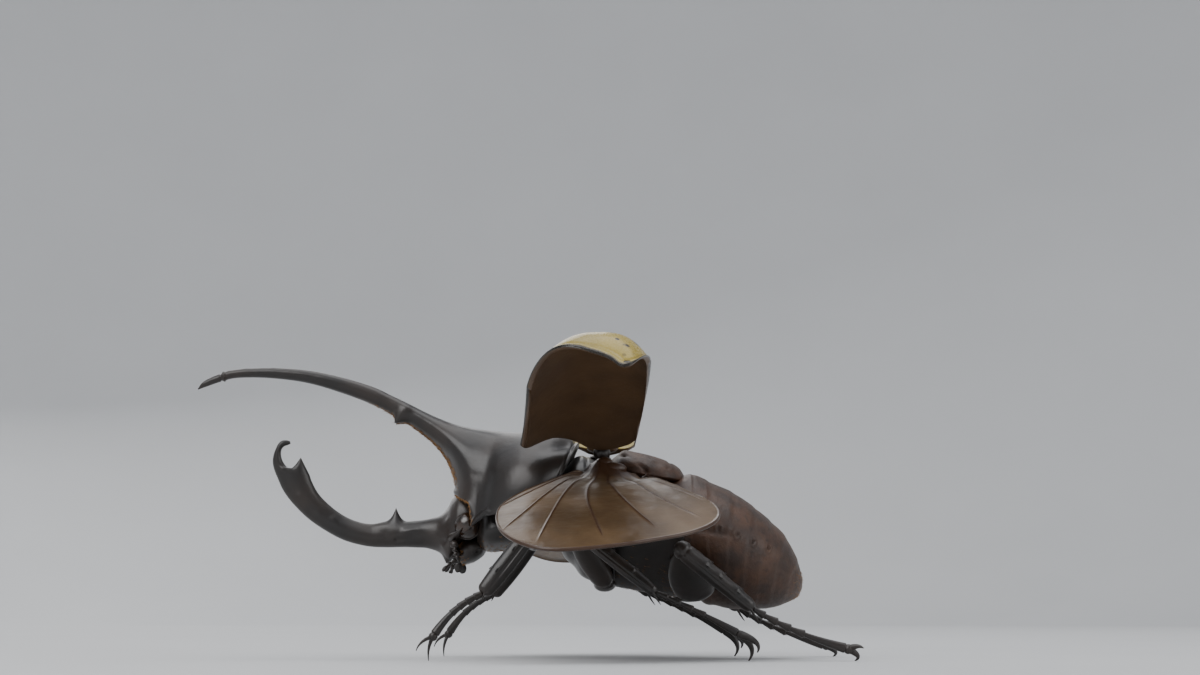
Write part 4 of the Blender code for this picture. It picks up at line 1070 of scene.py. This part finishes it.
def armed_tibia(leg):
    """The tibia with creases and steps, a pair of thorns at each step, and two spurs at its end."""
    tibia = limb(leg["shin"], leg["ankle"], leg["tibia"], leg["swell"], (-1.0, -0.2), (0, 1, 0), 120, 72, 0.9)
    share, turn = crowded(120)[:, None], turns(72)
    if leg["flip"]:
        turn = 2 * np.pi - turn
    crease = 0.12 * bell((turn - 2.65) / 0.16) - 0.20 * bell((turn - 2.9) / 0.10)
    crease = crease - 0.08 * bell((turn - 3.9) / 0.6)
    height = crease * np.sin(np.pi * share) - 0.14 * bell((share - 0.13) / 0.014)
    height = height + 0.10 * bell((share - 0.10) / 0.02)
    for at in leg["thorns"]:
        before = share - at
        saw = np.where(before < 0, np.clip(1 + before / 0.14, 0, 1) ** 2, bell(before / 0.012))
        height = height + leg["step"] * saw * bell((turn - 4.3) / 1.0)
    tibia = raised(tibia, height)
    facing = outward(tibia)
    way = unit(np.array(leg["ankle"]) - np.array(leg["shin"]))
    arms = []
    for at in leg["thorns"]:
        row = int(np.argmin(np.abs(share - at)))
        for turned in THORN_TURNS:
            column = int(np.argmin(np.abs(turn - turned)))
            out = facing[row, column]
            base = tibia[row, column] - 0.2 * out
            arms.append(thorn(base, 0.5 * out + 0.7 * way, 0.2 * way, *leg["thorn"]))
    spur_length, spur_radius = leg["spurs"]
    down = unit(np.array([0, 0, -1.0]) + 1.2 * way)
    for sideways in SPUR_SIDES:
        base = np.array(leg["ankle"]) - way * 0.7 + np.array([0, sideways, -0.55])
        leaning = down + np.array([0, 0.15 * sideways, 0])
        arms.append(thorn(base, leaning, 0.25 * way, spur_length * 0.72, spur_radius))
    return [tibia, *arms]


def jointed_foot(leg):
    """The foot: five joints in one tube, each flaring to its end and pinched in where the next one starts,
    with a pair of fine points under the end of each of the first four."""
    count = 241
    path = bent((leg["ankle"], leg["sole"], leg["toe"]), count)
    along = np.linspace(0, 1, count)
    index = np.clip(np.searchsorted(TARSUS_STARTS, along, side="right") - 1, 0, 4)
    near, far = np.array(TARSUS_STARTS)[index], np.array(TARSUS_STARTS)[index + 1]
    local = (along - near) / (far - near)
    narrow = 0.86 - 1.2 * leg["flare"]
    flare = narrow + np.where(index < 4, 1.2 * leg["flare"] * local**1.3, (0.98 - narrow) * local**1.2)
    pinch = np.where((local > 0.9) & (index < 4), ramp(local, 1.0, -0.10) ** 0.6, 1.0)
    size = leg["tarsus"] * (0.48 + (flare - 0.48) * pinch)
    run = along * np.linalg.norm(np.diff(path, axis=0), axis=1).sum()
    size = size * dome(np.minimum(run, run[-1] - run), 0.35)
    parts = [tube(path, size * 0.92, size, (0, 1, 0), 28)]
    for joint_end in TARSUS_STARTS[1:-1]:
        spot = int(joint_end * (count - 1)) - 5
        going = unit(path[spot + 4] - path[spot])
        for sideways in (-0.75, 0.75):
            base = path[spot] + np.array([0, sideways * leg["tarsus"] * 0.8, -0.5 * leg["tarsus"]])
            leaning = going * 0.9 + np.array([0, 0.3 * sideways, -0.35])
            parts.append(thorn(base, leaning, 0.1 * going, 0.6, 0.09))
    return parts


def clawed_knuckle(leg):
    """The last knuckle with two hooked claws and two bristles, none of it lower than just above the floor."""
    toe = np.array(leg["toe"])
    going = unit(toe - np.array(leg["sole"]))
    heart = toe + going * 0.5
    parts = [ball(heart, [0.95 * leg["tarsus"]] * 3, 24, 32)]
    for pull, tip in leg["claws"]:
        size = leg["claw"] * (1.35 - 1.15 * np.linspace(0, 1, 44) ** 1.1)
        parts.append(tube(bent((heart, pull, tip), 44), size * 0.85, size, (0, 1, 0.2), 20))
    for sideways in (-0.35, 0.35):
        leaning = going + np.array([0, sideways, -0.5])
        parts.append(thorn(heart + going * 0.5, leaning, 0.3 * going, 1.3, 0.08))
    return [grid * [1, 1, 0] + np.maximum(grid, FLOOR_CLEARANCE) * [0, 0, 1] for grid in parts]


for pair, leg in LEGS.items():
    joints = upper_joints(leg)
    joints["tibia"] = armed_tibia(leg)
    joints["tarsus"] = jointed_foot(leg)
    joints["claws"] = clawed_knuckle(leg)
    for joint, grids in joints.items():
        shapes = [loft(grid) for grid in grids]
        put_pair(f"{pair}_leg_{joint}", f"{pair}_{joint}", shapes, BLACK_SHELL)


# ---- Bristles ----
# Golden brown bristles, solid and tapered, which lie close along the shell: a brush under the upper horn, a
# fringe on the shield's front edge, and sparse ones at the mouth, on the breast and at the abdomen's end.

BRISTLE_RADIUS = 0.055
BRISTLE_RINGS = np.array([0.0, 0.3, 0.6, 0.85, 1.0])
BRISTLE_SIDES = 5
PATCH = 0.0015
dice = np.random.default_rng(7)


def golden_hair(start):
    """Golden brown, some hairs darker than others, with a silky sheen."""
    tone = start.noise(1.5, 3.0).fade(0.3, 0.7)
    colour = start.mix(tone, (0.13, 0.055, 0.014), (0.34, 0.17, 0.045))
    return {"Base Color": colour, "Roughness": 0.36 + 0.2 * tone}


HAIR = finish_of("hair", {"Specular IOR Level": 0.5, "Anisotropic": 0.4}, golden_hair)


def bristles(grid, weight, count, length, lie):
    """Hairs over a skin grid, rooted by chance in proportion to the weight and the area there. Each leans
    along the grid, forwards for lie -1 and backwards for 1, and lies down towards its tip. The last two
    columns of the points are the root's place on the grid laid flat, from 0 to 1 each way, widened to a
    small patch."""
    along = np.gradient(grid, axis=0)
    beside = np.roll(grid, -1, axis=1) - grid
    chance = (weight * np.linalg.norm(np.cross(along, beside), axis=-1))[:-1].ravel()
    picked = dice.choice(chance.size, count, p=chance / chance.sum())
    row, column = np.divmod(picked, grid.shape[1])
    shift = dice.random((count, 2))
    root = grid[row, column] + along[row, column] * shift[:, :1] + beside[row, column] * shift[:, 1:]
    normal = outward(grid)[row, column]
    lying = unit(along[row, column]) * lie
    way = unit(0.9 * lying + 0.45 * normal + 0.22 * dice.normal(size=(count, 3)))
    reach = (length * dice.uniform(0.7, 1.15, count))[:, None, None]
    t = BRISTLE_RINGS[None, :, None]
    bow = (0.3 * lying - 0.22 * normal)[:, None]
    path = (root - 0.12 * normal)[:, None] + reach * (way[:, None] * t + bow * t**2)
    first = unit(np.cross(way, normal))
    second = np.cross(way, first)
    round_hair = turns(BRISTLE_SIDES)
    spoke = first[:, None] * np.cos(round_hair)[:, None] + second[:, None] * np.sin(round_hair)[:, None]
    size = BRISTLE_RADIUS * (1 - BRISTLE_RINGS) ** 0.7 + 0.004
    rings = path[:, :, None] + spoke[:, None] * size[:, None, None]
    flat = np.stack([(column + shift[:, 1]) / grid.shape[1], (row + shift[:, 0]) / len(grid)], axis=-1)
    patch = np.stack([np.cos(round_hair), np.sin(round_hair)], axis=-1)
    patch = patch * (PATCH * (1 - 0.8 * BRISTLE_RINGS))[:, None, None]
    points = np.concatenate([rings, flat[:, None, None] + patch[None]], axis=-1)
    _, quads, fans = loft(points[0])
    each = len(BRISTLE_RINGS) * BRISTLE_SIDES + 2
    starts = (np.arange(count) * each)[:, None, None]
    ends = points[:, [0, -1]].mean(axis=2)
    points = np.concatenate([points.reshape(count, -1, 5), ends], axis=1).reshape(-1, 5)
    return points, (quads + starts).reshape(-1, 4), (fans + starts).reshape(-1, 3)


def lay_flat(piece, points):
    """Writes the last two columns of the points into the piece's map OFBake."""
    corners = np.empty(len(piece.data.loops), int)
    piece.data.loops.foreach_get("vertex_index", corners)
    layer = piece.data.uv_layers.new(name="OFBake")
    layer.data.foreach_set("uv", points[corners, 3:].ravel())


def row_of(grid, ribs):
    """Each row's place, counted in ribs."""
    return np.linspace(0, len(ribs) - 1, len(grid))[:, None]


def underneath(grid, cut):
    """0 on top of a ringed grid and up to 1 - cut along its belly, from where the turn's sine is -cut."""
    return np.clip(-cut - np.sin(turns(grid.shape[1])), 0, 1)


below = np.sin(shield_turn)
brush = ramp(shield_row, 6.6, 1.5) * ramp(shield_row, 13.4, -1.8) * (below < -0.80)
fringe = bell((shield_row - 13.95) / 0.06) * (below < -0.05)
# Each patch: its skin, where on it the hairs grow, how many, how long, and which way they lie.
BRISTLE_PATCHES = (
    ("horn_brush", shield, brush, 1500, 1.0, -1),
    ("shield_fringe", shield, fringe, 420, 0.9, 1),
    ("mouth_hair", mouth, bell((row_of(mouth, MOUTH_RIBS) - 0.9) / 0.5), 260, 0.9, -1),
    ("breast_hair", fore, underneath(fore, 0.2), 420, 0.9, 1),
    ("belly_hair", rear, underneath(rear, 0.4), 420, 0.9, 1),
    ("tail_hair", abdomen, bell((abdomen_row - 9.9) / 0.5), 260, 0.9, 1),
)
for name, skin, weight, count, length, lie in BRISTLE_PATCHES:
    hairs = bristles(skin, weight, count, length, lie)
    lay_flat(put(name, [hairs], HAIR, ()), hairs[0])


# ---- Floor, light and camera ----
# A pale round floor that curves up into a wall all round, and four soft round lamps: the strongest over the
# animal's left front, one overhead, and weaker ones at its tail and behind it.

FLOOR_RADIUS, WALL_RADIUS, WALL_HEIGHT = 1.3, 2.2, 2.4
sweep = np.linspace(0, np.pi / 2, 24)[1:]
curve_out = FLOOR_RADIUS + (WALL_RADIUS - FLOOR_RADIUS) * np.sin(sweep)
radii = np.concatenate([np.linspace(0.002, FLOOR_RADIUS, 30), curve_out])[:, None]
levels = np.concatenate([np.zeros(30), WALL_HEIGHT * (1 - np.cos(sweep))])[:, None]
turn = turns(96)
bowl = np.stack([radii * np.cos(turn), radii * np.sin(turn), levels + 0 * turn], axis=-1)
points, quads, fans = loft(bowl)
floor_mesh = bpy.data.meshes.new("studio_floor")
floor_mesh.from_pydata(points[:-1].tolist(), [], quads.tolist() + fans[: len(turn)].tolist())
floor_mesh.shade_smooth()


def pale_paper(start):
    """Matt pale grey paper, a little uneven."""
    fibres = start.noise(0.01, 3.0)
    colour = start.mix(fibres, (0.50, 0.505, 0.51), (0.54, 0.545, 0.55))
    return {"Base Color": colour, "Roughness": 0.75 + 0.1 * fibres}


floor_mesh.materials.append(finish_of("studio_paper", {"Specular IOR Level": 0.2}, pale_paper))
floor = bpy.data.objects.new("studio_floor", floor_mesh)
bpy.context.scene.collection.objects.link(floor)

MIDDLE = Vector((0.0, 0.0, 0.035))
LAMPS = (
    ("key_lamp", (-0.75, -0.95, 1.15), 1.3, 17.0),
    ("tail_lamp", (1.15, -0.55, 0.55), 1.0, 5.0),
    ("back_lamp", (-0.45, 1.25, 0.75), 1.1, 6.0),
    ("top_lamp", (0.1, 0.2, 1.5), 1.4, 9.0),
)
for name, spot, size, power in LAMPS:
    lamp = bpy.data.lights.new(name, "AREA")
    lamp.shape = "DISK"
    lamp.size = size
    lamp.energy = power
    holder = bpy.data.objects.new(name, lamp)
    holder.location = spot
    holder.rotation_euler = (Vector(spot) - MIDDLE).to_track_quat("Z", "Y").to_euler()
    bpy.context.scene.collection.objects.link(holder)

world = bpy.data.worlds.new("studio_air")
world.use_nodes = True
world.node_tree.nodes["Background"].inputs["Color"].default_value = (0.90, 0.93, 1.0, 1.0)
world.node_tree.nodes["Background"].inputs["Strength"].default_value = 0.75
bpy.context.scene.world = world

camera = bpy.data.cameras.new("camera")
camera.lens = 80.0
camera.sensor_width = 36.0
camera.clip_start = 0.01
viewer = bpy.data.objects.new("camera", camera)
viewer.location = (foot_of_hinge[0], -0.628, 0.0116)
viewer.rotation_euler = (math.radians(90 + 5.81), 0.0, 0.0)
bpy.context.scene.collection.objects.link(viewer)
bpy.context.scene.camera = viewer
